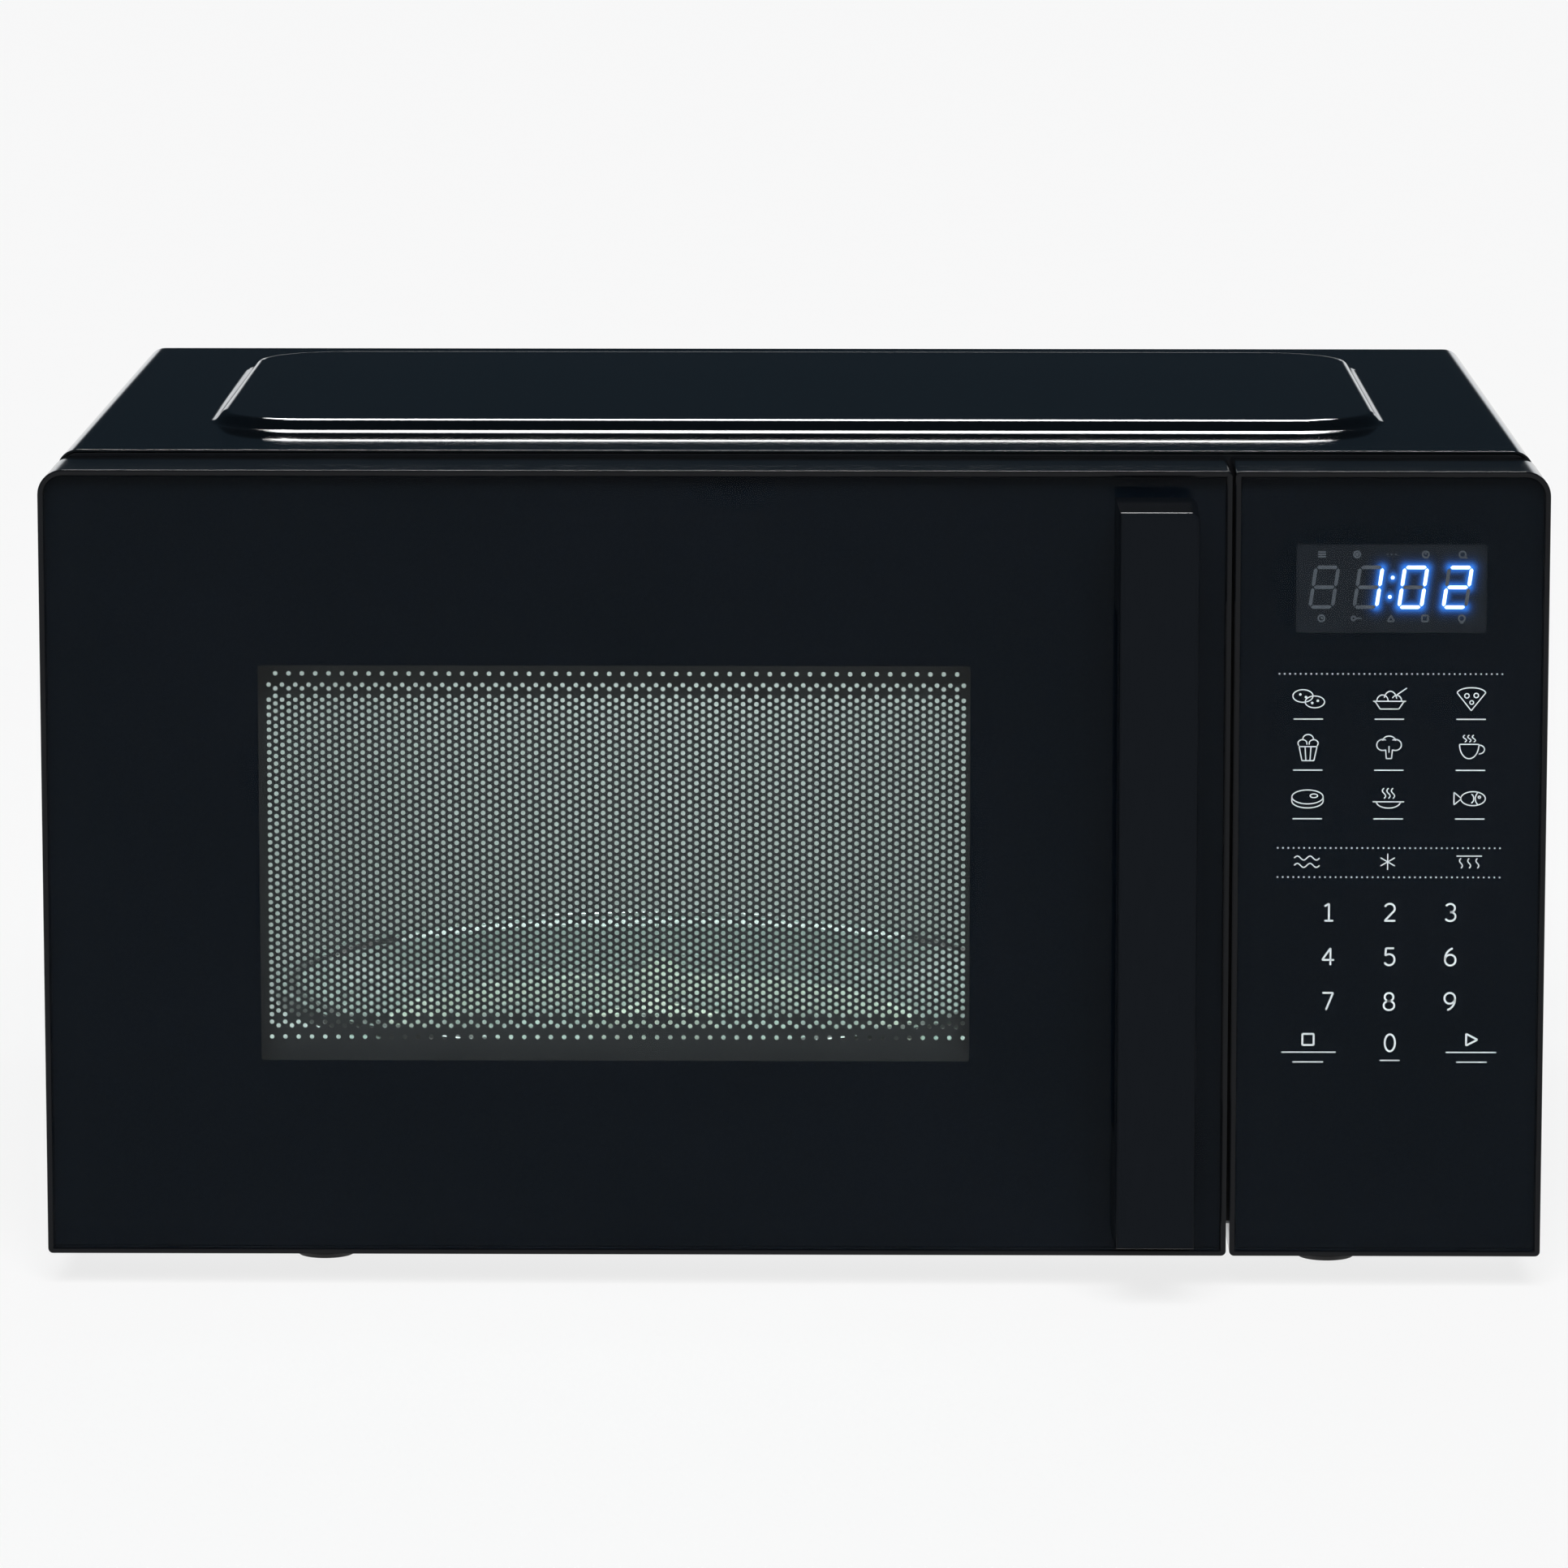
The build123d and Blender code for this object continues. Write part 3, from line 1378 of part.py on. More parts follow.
# Control housing: moulded frame round the control glass, with a web that carries the board
web_front = glass_face + panel_web_setback
board_front = glass_back + display_depth
board_back = board_front + board_thickness
board_width = panel_right - panel_left - 2 * panel_wall - 2 * board_margin
with BuildPart() as control_housing:
    with BuildSketch(front_plane(glass_face)) as housing_outline:
        rect(panel_left, panel_right, front_bottom, front_top)
        round_front(housing_outline, 1)
    extrude(amount=-(frame_face - glass_face))
    with BuildSketch(front_plane(glass_face)) as panel_seat:
        rect(panel_left + front_rim, panel_right - front_rim, front_bottom + front_rim, front_top - front_rim)
        fillet(top_corner(panel_seat, 1), front_corner - front_rim)
    extrude(amount=-glass_thickness, mode=Mode.SUBTRACT)
    with BuildSketch(front_plane(glass_back)):
        rect(
            panel_left + front_rim + panel_ledge,
            panel_right - front_rim - panel_ledge,
            front_bottom + front_rim + panel_ledge,
            front_top - front_rim - panel_ledge,
        )
    extrude(amount=-(frame_face - glass_back), mode=Mode.SUBTRACT)
    with BuildSketch(front_plane(web_front)):
        rect(
            panel_left + panel_wall,
            panel_right - panel_wall,
            front_bottom + panel_wall,
            front_top - panel_wall,
        )
        with Locations((panel_x, panel_z)):
            Rectangle(wire_opening_width, wire_opening_height, mode=Mode.SUBTRACT)
    extrude(amount=-panel_web)
    with BuildSketch(front_plane(web_front)):
        with Locations((panel_x, panel_z)):
            with GridLocations(board_width - 2 * board_post_inset, board_height - 2 * board_post_inset, 2, 2):
                Circle(post_radius)
    extrude(amount=web_front - board_back)
keep(control_housing, "control_housing")

# Control glass: printed touch glass set flush in the housing
with BuildPart() as control_glass:
    with BuildSketch(front_plane(glass_face)) as panel_glass_outline:
        rect(
            panel_left + front_rim + fit,
            panel_right - front_rim - fit,
            front_bottom + front_rim + fit,
            front_top - front_rim - fit,
        )
        fillet(top_corner(panel_glass_outline, 1), front_corner - front_rim - fit)
    extrude(amount=-glass_thickness)
keep(control_glass, "control_glass")

# Display module: block of lit digits between the control board and the glass
with BuildPart() as display_module:
    with BuildSketch(front_plane(glass_back)):
        with Locations((display_x, display_z)):
            Rectangle(display_width, display_height)
    extrude(amount=-display_depth)
keep(display_module, "display_module")

# Control board: circuit board with relays and a small transformer on its back
with BuildPart() as control_board:
    with BuildSketch(front_plane(board_front)):
        with Locations((panel_x, panel_z)):
            Rectangle(board_width, board_height)
    extrude(amount=-board_thickness)
    with BuildSketch(front_plane(board_back)):
        with Locations((panel_x, panel_z)):
            with GridLocations(relay_pitch_x, relay_pitch_z, 2, 3):
                Rectangle(relay_size, relay_size)
    extrude(amount=-relay_height)
keep(control_board, "control_board")

# Door frame: moulded rim, glass seat, posts for the steel panel, hinge blocks and the spring peg
frame_end = door_back - door_frame_inset
wall_left = door_left + door_wall
wall_right = door_right - door_wall
wall_low = front_bottom + door_wall
wall_high = front_top - door_wall
choke_left = cavity_left - choke_outset
choke_right = cavity_right + choke_outset
choke_low = floor_level - choke_outset
choke_high = roof_level + choke_outset
choke_front = choke_seal - choke_wall_depth
handle_screw_levels = (handle_bottom + handle_post / 2, handle_top - handle_post / 2)
latch_front = ledge_back + latch_side_play
latch_bar_back = latch_front + latch_bar_depth
spring_y = latch_front + latch_bar_depth / 2
bar_low = latch_low - latch_bar_end
bar_high = latch_high + latch_arm_height + latch_bar_end
spring_low = bar_low - spring_length
hinge_arm_half = hinge_arm_width / 2
block_lows = (
    hinge_levels[0] + hinge_arm_thickness + hinge_slot_play,
    hinge_levels[1] - hinge_slot_play - hinge_block,
)
post_spacing = 9 * choke_slot_pitch
with BuildPart() as door_frame:
    with BuildSketch(front_plane(glass_face)) as door_outline:
        rect(door_left, door_right, front_bottom, front_top)
        round_front(door_outline, -1)
    extrude(amount=-(frame_end - glass_face))
    with BuildSketch(Plane.XY.offset(front_bottom)):
        rect(door_left, door_left + door_heel_radius, frame_end - door_heel_radius, frame_end)
        with Locations((door_left + door_heel_radius, frame_end - door_heel_radius)):
            Circle(door_heel_radius, mode=Mode.SUBTRACT)
    extrude(amount=front_height, mode=Mode.SUBTRACT)
    with BuildSketch(front_plane(glass_face)) as door_seat:
        rect(door_left + front_rim, door_right - front_rim, front_bottom + front_rim, front_top - front_rim)
        fillet(top_corner(door_seat, -1), front_corner - front_rim)
    extrude(amount=-glass_thickness, mode=Mode.SUBTRACT)
    with BuildSketch(front_plane(glass_back)):
        rect(
            wall_left + ledge_width,
            wall_right - ledge_width_latch,
            wall_low + ledge_width,
            wall_high - ledge_width,
        )
    extrude(amount=-ledge_thickness, mode=Mode.SUBTRACT)
    with BuildSketch(front_plane(ledge_back)):
        rect(wall_left, wall_right, wall_low, wall_high)
    extrude(amount=-(frame_end - ledge_back), mode=Mode.SUBTRACT)
    with BuildSketch(front_plane(ledge_back)):
        with Locations((cavity_x, (choke_low + choke_high) / 2)):
            with GridLocations(post_spacing, choke_high - choke_low - sheet, 2, 2):
                Circle(post_radius)
    extrude(amount=-(choke_front - ledge_back))
    for low in block_lows:
        with BuildSketch(Plane.XY.offset(low)):
            rect(
                wall_left - sheet,
                choke_left - latch_side_play,
                hinge_y - hinge_pin_radius - hinge_block_wall,
                hinge_y + hinge_pin_radius + hinge_block_wall,
            )
        extrude(amount=hinge_block)
        with BuildSketch(Plane.XY.offset(low)):
            with Locations((hinge_x, hinge_y)):
                Circle(hinge_pin_radius + running_clearance)
        extrude(amount=hinge_block, mode=Mode.SUBTRACT)
    for level in hinge_levels:
        with BuildSketch(Plane.XY.offset(level - hinge_slot_play)):
            rect(
                door_left,
                hinge_x + hinge_arm_half + hinge_slot_play,
                hinge_y - hinge_arm_half - hinge_swing_play,
                frame_end,
            )
        extrude(amount=hinge_arm_thickness + 2 * hinge_slot_play, mode=Mode.SUBTRACT)
    with BuildSketch(Plane.XY.offset(spring_low)):
        rect(latch_left, wall_right + sheet, spring_y - spring_radius, spring_y + spring_radius)
    extrude(amount=-spring_peg_height)
    with BuildSketch(front_plane(glass_back)):
        with Locations(*[(handle_x, z) for z in handle_screw_levels]):
            Circle(screw_hole_radius)
    extrude(amount=-ledge_thickness, mode=Mode.SUBTRACT)
keep(door_frame, "door_frame")

# Door glass: toughened glass set flush in the rim, drilled for the handle screws
with BuildPart() as door_glass:
    with BuildSketch(front_plane(glass_face)) as door_glass_outline:
        rect(
            door_left + front_rim + fit,
            door_right - front_rim - fit,
            front_bottom + front_rim + fit,
            front_top - front_rim - fit,
        )
        fillet(top_corner(door_glass_outline, -1), front_corner - front_rim - fit)
        with Locations(*[(handle_x, z) for z in handle_screw_levels]):
            Circle(screw_hole_radius, mode=Mode.SUBTRACT)
    extrude(amount=-glass_thickness)
keep(door_glass, "door_glass")

# Choke panel: steel pan with the screen window, a sealing face round the mouth and a slotted choke wall
plate_left = cavity_left + choke_inset
plate_right = cavity_right - choke_inset
plate_low = floor_level + choke_inset
plate_high = roof_level - choke_inset
slots_across = int((choke_right - choke_left) / choke_slot_pitch) - 1
slots_up = int((choke_high - choke_low) / choke_slot_pitch) - 1
with BuildPart() as door_choke_panel:
    with BuildSketch(front_plane(choke_seal)):
        rect(choke_left, choke_right, choke_low, choke_high)
    extrude(amount=choke_wall_depth)
    offset(amount=-sheet, openings=[door_choke_panel.faces().sort_by(Axis.Y)[0]])
    with BuildSketch(front_plane(choke_seal)):
        rect(plate_left, plate_right, plate_low, plate_high)
    extrude(amount=choke_height)
    with BuildSketch(front_plane(choke_seal)):
        rect(plate_left + sheet, plate_right - sheet, plate_low + sheet, plate_high - sheet)
    extrude(amount=choke_height - sheet, mode=Mode.SUBTRACT)
    with BuildSketch(front_plane(choke_plate)):
        rect(window_left, window_right, window_bottom, window_top)
    extrude(amount=-sheet, mode=Mode.SUBTRACT)
    with BuildSketch(front_plane(choke_front)):
        with Locations((cavity_x, (choke_low + choke_high) / 2)):
            with GridLocations(choke_slot_pitch, choke_high - choke_low - sheet, slots_across, 2):
                Rectangle(choke_slot_width, 2 * sheet)
            with GridLocations(choke_right - choke_left - sheet, choke_slot_pitch, 2, slots_up):
                Rectangle(2 * sheet, choke_slot_width)
    extrude(amount=-choke_slot_depth, mode=Mode.SUBTRACT)
keep(door_choke_panel, "door_choke_panel")

# Door screen: perforated sheet welded over the window of the choke panel
with BuildPart() as door_screen:
    with BuildSketch(front_plane(screen_front)):
        with Locations((window_x, window_z)):
            Rectangle(window_width + 2 * screen_lap, window_height + 2 * screen_lap)
    extrude(amount=-screen_thickness)
keep(door_screen, "door_screen")

# Inner window: clear sheet on the cavity side of the screen
with BuildPart() as door_inner_window:
    with BuildSketch(front_plane(choke_plate_back)):
        with Locations((window_x, window_z)):
            Rectangle(window_width + 2 * inner_window_lap, window_height + 2 * inner_window_lap)
    extrude(amount=-inner_window_thickness)
keep(door_inner_window, "door_inner_window")

# Choke cover: moulded ring over the choke, slotted for the latch arms and notched for the hinge arms
with BuildPart() as choke_cover:
    with BuildSketch(front_plane(choke_cover_front)):
        rect(wall_left + fit, wall_right - fit, wall_low + fit, wall_high - fit)
    extrude(amount=-(door_back - choke_cover_front))
    chamfer(choke_cover.faces().sort_by(Axis.Y)[-1].edges(), choke_cover_edge)
    with BuildSketch(front_plane(choke_cover_front)):
        rect(plate_left + sheet, plate_right - sheet, plate_low + sheet, plate_high - sheet)
        for z in (latch_low, latch_high):
            rect(
                latch_left - latch_side_play,
                latch_right + latch_side_play,
                z - latch_side_play,
                z + latch_arm_height + latch_lift + latch_side_play,
            )
        for level in hinge_levels:
            rect(
                wall_left,
                hinge_x + hinge_arm_half + hinge_slot_play,
                level - hinge_slot_play,
                level + hinge_arm_thickness + hinge_slot_play,
            )
    extrude(amount=-(door_back - choke_cover_front), mode=Mode.SUBTRACT)
keep(choke_cover, "choke_cover")

# Door handle: upright bar on two long posts, with a finger gap behind it
handle_left = handle_x - handle_width / 2
with BuildPart() as door_handle:
    for depth, growth in ((glass_face, handle_draft), (handle_face, 0.0)):
        with BuildSketch(front_plane(depth)) as bar_outline:
            rect(
                handle_left - growth,
                handle_left + handle_width + growth,
                handle_bottom - growth,
                handle_top + growth,
            )
            fillet(top_corner(bar_outline, 1), handle_corner)
    loft(ruled=True)
    fillet(door_handle.faces().sort_by(Axis.Y)[0].edges(), handle_edge)
    with BuildSketch(side_plane(handle_left - handle_draft)) as finger_gap:
        rect(handle_face + handle_bar, glass_face, handle_bottom + handle_post, handle_top - handle_post)
        fillet(finger_gap.vertices().group_by(Axis.X)[0], handle_inner_blend)
    extrude(amount=handle_width + 2 * handle_draft, mode=Mode.SUBTRACT)
    with BuildSketch(front_plane(glass_face)):
        with Locations(*[(handle_x, z) for z in handle_screw_levels]):
            Circle(screw_radius)
    extrude(amount=handle_screw_depth, mode=Mode.SUBTRACT)
keep(door_handle, "door_handle")

# Handle screws: from inside the door, through the glass into the posts
with BuildPart() as handle_screws:
    with BuildSketch(front_plane(ledge_back)):
        with Locations(*[(handle_x, z) for z in handle_screw_levels]):
            Circle(screw_head_radius)
    extrude(amount=-screw_head_height)
    with BuildSketch(front_plane(ledge_back)):
        with Locations(*[(handle_x, z) for z in handle_screw_levels]):
            Circle(screw_radius)
    extrude(amount=ledge_back - glass_face + handle_screw_depth - screw_head_height)
keep(handle_screws, "handle_screws")

# Hinges: arm through the front frame with a riveted pin, and a leg screwed behind the frame
for name, level, up in (("hinge_lower", hinge_levels[0], 1), ("hinge_upper", hinge_levels[1], -1)):
    arm_face = level if up < 0 else level + hinge_arm_thickness
    leg_low = level if up > 0 else level + hinge_arm_thickness - hinge_leg
    with BuildPart() as hinge:
        with BuildSketch(Plane.XY.offset(level)):
            with Locations((hinge_x, hinge_y)):
                Circle(hinge_arm_half)
            rect(
                hinge_x - hinge_arm_half,
                hinge_x + hinge_arm_half,
                hinge_y,
                frame_back + hinge_arm_thickness,
            )
        extrude(amount=hinge_arm_thickness)
        with BuildSketch(front_plane(frame_back)):
            rect(hinge_x - hinge_arm_half, hinge_x + hinge_arm_half, leg_low, leg_low + hinge_leg)
        extrude(amount=-hinge_arm_thickness)
        with BuildSketch(Plane.XY.offset(arm_face)):
            with Locations((hinge_x, hinge_y)):
                Circle(hinge_pin_radius)
        extrude(amount=up * hinge_pin_length)
    keep(hinge, name)

# Latch hooks: sliding bar in the door with two hooks that drop behind the ledges of the latch board
hook_end = frame_back + latch_reach
nose_front = hook_end - latch_nose_length
nose_lead = latch_nose_length / 3
with BuildPart() as latch_hooks:
    with BuildSketch(side_plane(latch_left)):
        rect(latch_front, latch_bar_back, bar_low, bar_high)
        for z in (latch_low, latch_high):
            rect(latch_bar_back, hook_end, z, z + latch_arm_height)
    extrude(amount=latch_thickness)
    for z in (latch_low, latch_high):
        with BuildSketch(side_plane(nose_left)):
            with BuildLine():
                Polyline(
                    (nose_front, z + latch_arm_height / 2),
                    (nose_front, z - latch_nose_drop),
                    (hook_end - nose_lead, z - latch_nose_drop),
                    (hook_end, z - latch_nose_drop + nose_lead),
                    (hook_end, z + latch_arm_height / 2),
                    close=True,
                )
            make_face()
        extrude(amount=latch_right - nose_left)
keep(latch_hooks, "latch_hooks")

# Latch spring: pulls the hooks down, hung between the bar and the peg of the door frame
with BuildPart() as latch_spring:
    with BuildSketch(Plane.XY.offset(spring_low)):
        with Locations((latch_x, spring_y)):
            Circle(spring_radius)
            Circle(spring_bore, mode=Mode.SUBTRACT)
    extrude(amount=spring_length)
keep(latch_spring, "latch_spring")
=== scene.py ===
import math

import bpy
import numpy as np
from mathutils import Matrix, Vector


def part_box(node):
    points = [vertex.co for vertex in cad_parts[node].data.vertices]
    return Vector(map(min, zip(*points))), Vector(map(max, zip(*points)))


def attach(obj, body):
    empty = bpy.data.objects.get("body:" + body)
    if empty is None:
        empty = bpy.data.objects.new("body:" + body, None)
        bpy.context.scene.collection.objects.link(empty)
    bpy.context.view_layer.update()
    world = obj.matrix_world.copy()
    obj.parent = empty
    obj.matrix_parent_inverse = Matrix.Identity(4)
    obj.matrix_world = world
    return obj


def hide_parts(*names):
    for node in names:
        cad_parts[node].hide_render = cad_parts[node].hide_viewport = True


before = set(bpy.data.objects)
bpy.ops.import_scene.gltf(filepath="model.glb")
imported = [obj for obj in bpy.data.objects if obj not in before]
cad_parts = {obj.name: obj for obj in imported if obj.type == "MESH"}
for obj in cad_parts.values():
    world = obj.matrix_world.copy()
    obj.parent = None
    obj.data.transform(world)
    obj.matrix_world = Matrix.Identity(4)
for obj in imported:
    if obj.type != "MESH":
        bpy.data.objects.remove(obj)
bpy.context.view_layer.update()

# Sheet metal: the base plate, rear panel, hinges, waveguide and brackets are folded from galvanised steel.
# The zinc freezes in flat crystals about 9 mm across, so the grey is patchy, half dull and half bright.
spangle_mm = 9.0
edge_rays = 6


def linear(code):
    """Linear colour of an sRGB hex code: the sRGB curve undone for each channel."""
    channel = np.array([int(code[place:place + 2], 16) for place in (1, 3, 5)]) / 255
    bright = ((channel + 0.055) / 1.055) ** 2.4
    return (*np.where(channel <= 0.04045, channel / 12.92, bright).tolist(), 1.0)


def add(tree, kind, settings=(), links=()):
    """One node of a kind: settings go to its properties or sockets, links join its inputs to outputs."""
    made = tree.nodes.new(kind)
    for name, value in dict(settings).items():
        if isinstance(name, str) and hasattr(made, name):
            setattr(made, name, value)
        else:
            made.inputs[name].default_value = value
    for name, output in dict(links).items():
        tree.links.new(output, made.inputs[name])
    return made


def start_finish(name, sockets):
    """A new material with one shader: gives the material, its tree, the shader and piece coordinates."""
    made = bpy.data.materials.new(name)
    made.use_nodes = True
    tree = made.node_tree
    tree.nodes.clear()
    shader = add(tree, "ShaderNodeBsdfPrincipled", sockets)
    add(tree, "ShaderNodeOutputMaterial", links={"Surface": shader.outputs[0]})
    place = add(tree, "ShaderNodeTexCoord").outputs["Object"]
    return made, tree, shader, place


def work_in(tree, shader, pattern, colours=None, roughness=None, relief_mm=0.0, edge_mm=0.0):
    """Lets a pattern from 0 to 1 blend two colours, two roughnesses and a relief so many mm deep.

    With a relief, an edge radius turns the normals near a sharp edge, which then shades as if rounded.
    """
    if colours:
        ends = {"data_type": "RGBA", 6: linear(colours[0]), 7: linear(colours[1])}
        tone = add(tree, "ShaderNodeMix", ends, {0: pattern})
        tree.links.new(tone.outputs[2], shader.inputs["Base Color"])
    if roughness:
        ends = {"To Min": roughness[0], "To Max": roughness[1]}
        spread = add(tree, "ShaderNodeMapRange", ends, {"Value": pattern})
        tree.links.new(spread.outputs[0], shader.inputs["Roughness"])
    if relief_mm:
        depth = {"Strength": 1.0, "Distance": relief_mm / 1000}
        relief = add(tree, "ShaderNodeBump", depth, {"Height": pattern})
        tree.links.new(relief.outputs[0], shader.inputs["Normal"])
        if edge_mm:
            rounded = add(tree, "ShaderNodeBevel", {"samples": edge_rays, "Radius": edge_mm / 1000})
            tree.links.new(rounded.outputs[0], relief.inputs["Normal"])


def dress(finish, *names):
    """Puts a finish on solids of the frame."""
    for name in names:
        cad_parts[name].material_slots[0].material = finish


galvanised, tree, shader, place = start_finish("galvanised_steel", {"Metallic": 1.0})
crystals = add(tree, "ShaderNodeTexVoronoi", {"Scale": 1000 / spangle_mm}, {"Vector": place})
work_in(tree, shader, crystals.outputs["Color"], ("#94989b", "#b0b4b6"), (0.34, 0.48))
dress(galvanised, "base_plate", "rear_panel", "hinge_lower", "hinge_upper", "waveguide", "magnetron_yoke")
dress(galvanised, "magnetron_filter_box", "capacitor_clamp", "turntable_motor")

# Feet: moulded rubber buttons pushed into the base plate. The mould is grit blasted, which leaves the
# rubber dull with a fine pebbled skin, its hollows darker than its tops.
pebble_mm = 0.6
rubber, tree, shader, place = start_finish("moulded_rubber", {"IOR": 1.45})
pebbles = add(tree, "ShaderNodeTexNoise", {"Scale": 1000 / pebble_mm, "Detail": 3.0}, {"Vector": place})
work_in(tree, shader, pebbles.outputs[0], ("#101011", "#1d1d1e"), (0.65, 0.85), relief_mm=0.08)
dress(rubber, "feet")

# Cavity: the walls, roof and floor are pressed steel with a grey baked enamel paint. The coat flows into a
# faint orange peel about 2 mm wide and carries fine darker specks.
peel_mm = 2.2
speck_mm = 0.9
enamel_sockets = {"IOR": 1.5, "Coat Weight": 0.4, "Coat Roughness": 0.08}
enamel, tree, shader, place = start_finish("grey_baked_enamel", enamel_sockets)
specks = add(tree, "ShaderNodeTexNoise", {"Scale": 1000 / speck_mm, "Detail": 2.0}, {"Vector": place})
work_in(tree, shader, specks.outputs[0], ("#838b88", "#a6aeaa"), (0.2, 0.28))
peel = add(tree, "ShaderNodeTexNoise", {"Scale": 1000 / peel_mm, "Detail": 1.0}, {"Vector": place})
work_in(tree, shader, peel.outputs[0], relief_mm=0.04)
dress(enamel, "cavity_shell", "cavity_roof", "cavity_floor")

# Front frame: the pressed steel plate round the mouth, welded to the cavity and stoved. Its black enamel is
# painted shade: it keeps the slits beside and above the door dark, as shade would.
# Its orange peel is a little finer.
frame_peel_mm = 1.8
painted_shade_enamel, tree, shader, place = start_finish("black_painted_shade_enamel", {"IOR": 1.4})
peel = add(tree, "ShaderNodeTexNoise", {"Scale": 1000 / frame_peel_mm, "Detail": 2.0}, {"Vector": place})
work_in(tree, shader, peel.outputs[0], ("#0b0d10", "#131518"), (0.3, 0.4), relief_mm=0.02)
dress(painted_shade_enamel, "front_frame")

# Mica: the waveguide window inside the cavity is a stamped sheet of pressed mica flakes, pale brown with
# flakes a few millimetres long that glint a little.
flake_mm = 5.0
mica, tree, shader, place = start_finish("pressed_mica", {"IOR": 1.58})
flakes = add(tree, "ShaderNodeTexVoronoi", {"Scale": 1000 / flake_mm}, {"Vector": place})
work_in(tree, shader, flakes.outputs["Color"], ("#8d7c5f", "#b7a686"), (0.35, 0.6), relief_mm=0.03)
dress(mica, "waveguide_cover")

# Turntable drive: the coupler, roller ring and wheels are injection moulded acetal, as are the latch pieces
# and lamp socket. It is an ivory plastic with a waxy sheen and very faint flow lines.
flow_mm = 7.0
acetal, tree, shader, place = start_finish("ivory_acetal", {"IOR": 1.48, "Subsurface Weight": 0.05})
swirl = {"Scale": 1000 / flow_mm, "Detail": 4.0, "Distortion": 1.5}
flow = add(tree, "ShaderNodeTexNoise", swirl, {"Vector": place})
work_in(tree, shader, flow.outputs[0], ("#cfcabb", "#e2ded1"), (0.38, 0.5), relief_mm=0.015)
dress(acetal, "drive_coupler", "roller_ring", "roller_1", "roller_2", "roller_3")
dress(acetal, "latch_board", "latch_hooks", "switch_plungers", "lamp_holder")

# Drive shaft: a turned steel pin that stands on the motor and carries the coupler. The lathe leaves rings
# round it, drawn 0.4 mm apart so that they show. At scale 1 the wave pattern repeats every 314.16 mm.
ring_mm = 0.4
wave_mm = 314.16
turned, tree, shader, place = start_finish("turned_steel", {"Metallic": 1.0})
lathe = {"Scale": wave_mm / ring_mm, "bands_direction": "Z"}
rings = add(tree, "ShaderNodeTexWave", lathe, {"Vector": place})
work_in(tree, shader, rings.outputs[1], ("#8e9092", "#a9abad"), (0.25, 0.38), relief_mm=0.01)
dress(turned, "drive_shaft")

# Glass tray: pressed soda-lime glass, greenish at its thick rim, with a slightly wavy pressed underside.
# The door panes and the bulb are clear too, and each lets lamp light through to what is behind it.
ripple_mm = 14.0


def start_clear(name, tint, sockets):
    """A clear finish: a shader that transmits, and for rays from lamps a plain see-through tint instead."""
    made, tree, shader, place = start_finish(name, {"Base Color": linear(tint), "Transmission Weight": 1.0})
    for socket, value in sockets.items():
        shader.inputs[socket].default_value = value
    passed = add(tree, "ShaderNodeBsdfTransparent", {"Color": linear(tint)})
    lamp_ray = add(tree, "ShaderNodeLightPath").outputs["Is Shadow Ray"]
    both = add(tree, "ShaderNodeMixShader", links={0: lamp_ray, 1: shader.outputs[0], 2: passed.outputs[0]})
    ends = [node for node in tree.nodes if node.type == "OUTPUT_MATERIAL"]
    tree.links.new(both.outputs[0], ends[0].inputs["Surface"])
    return made, tree, shader, place


tray_sockets = {"IOR": 1.52, "Roughness": 0.05}
tray_glass, tree, shader, place = start_clear("pressed_soda_glass", "#e4f0ec", tray_sockets)
ripple = add(tree, "ShaderNodeTexNoise", {"Scale": 1000 / ripple_mm, "Detail": 0.0}, {"Vector": place})
work_in(tree, shader, ripple.outputs[0], relief_mm=0.15)
dress(tray_glass, "turntable_glass")

# Magnetron and reflector: aluminium fins, can and rotor, and the bright aluminised tray over the grill.
# Rolled aluminium has fine lines along its rolling direction, drawn 0.5 mm apart so that they show.
rolled_mm = 0.5
rolled_stretch = (1.0, 1.0, 0.05)
aluminium, tree, shader, place = start_finish("rolled_aluminium", {"Metallic": 1.0})
stretch = add(tree, "ShaderNodeMapping", {"Scale": rolled_stretch}, {"Vector": place})
drawing = {"Scale": 1000 / rolled_mm, "Detail": 2.0}
lines = add(tree, "ShaderNodeTexNoise", drawing, {"Vector": stretch.outputs[0]})
work_in(tree, shader, lines.outputs[0], ("#a9acae", "#c9cccd"), (0.22, 0.4), relief_mm=0.01)
dress(aluminium, "magnetron_tube", "hv_capacitor", "fan_rotor", "grill_reflector")

# Ferrite: the two ring magnets inside the magnetron's yoke, clamped against its tube. They are pressed and
# sintered powder, charcoal grey with grains that catch the light.
grain_mm = 0.8
ferrite, tree, shader, place = start_finish("sintered_ferrite", {"IOR": 1.7})
grains = add(tree, "ShaderNodeTexVoronoi", {"Scale": 1000 / grain_mm}, {"Vector": place})
work_in(tree, shader, grains.outputs["Color"], ("#1c1d1e", "#2f3032"), (0.5, 0.75), relief_mm=0.05)
dress(ferrite, "magnetron_magnets")

# Laminations: the transformer core and the fan motor's stator are stacks of varnished silicon steel. The
# real sheets are 0.5 mm thick; the stripes are drawn 1.5 mm apart so that they show.
lamination_mm = 1.5
laminated, tree, shader, place = start_finish("varnished_laminations", {"Metallic": 0.6, "Coat Weight": 0.3})
stack = {"Scale": wave_mm / lamination_mm, "bands_direction": "Y"}
sheets = add(tree, "ShaderNodeTexWave", stack, {"Vector": place})
work_in(tree, shader, sheets.outputs[1], ("#2a2c2f", "#4d5054"), (0.35, 0.55), relief_mm=0.1)
dress(laminated, "transformer_core", "fan_motor")

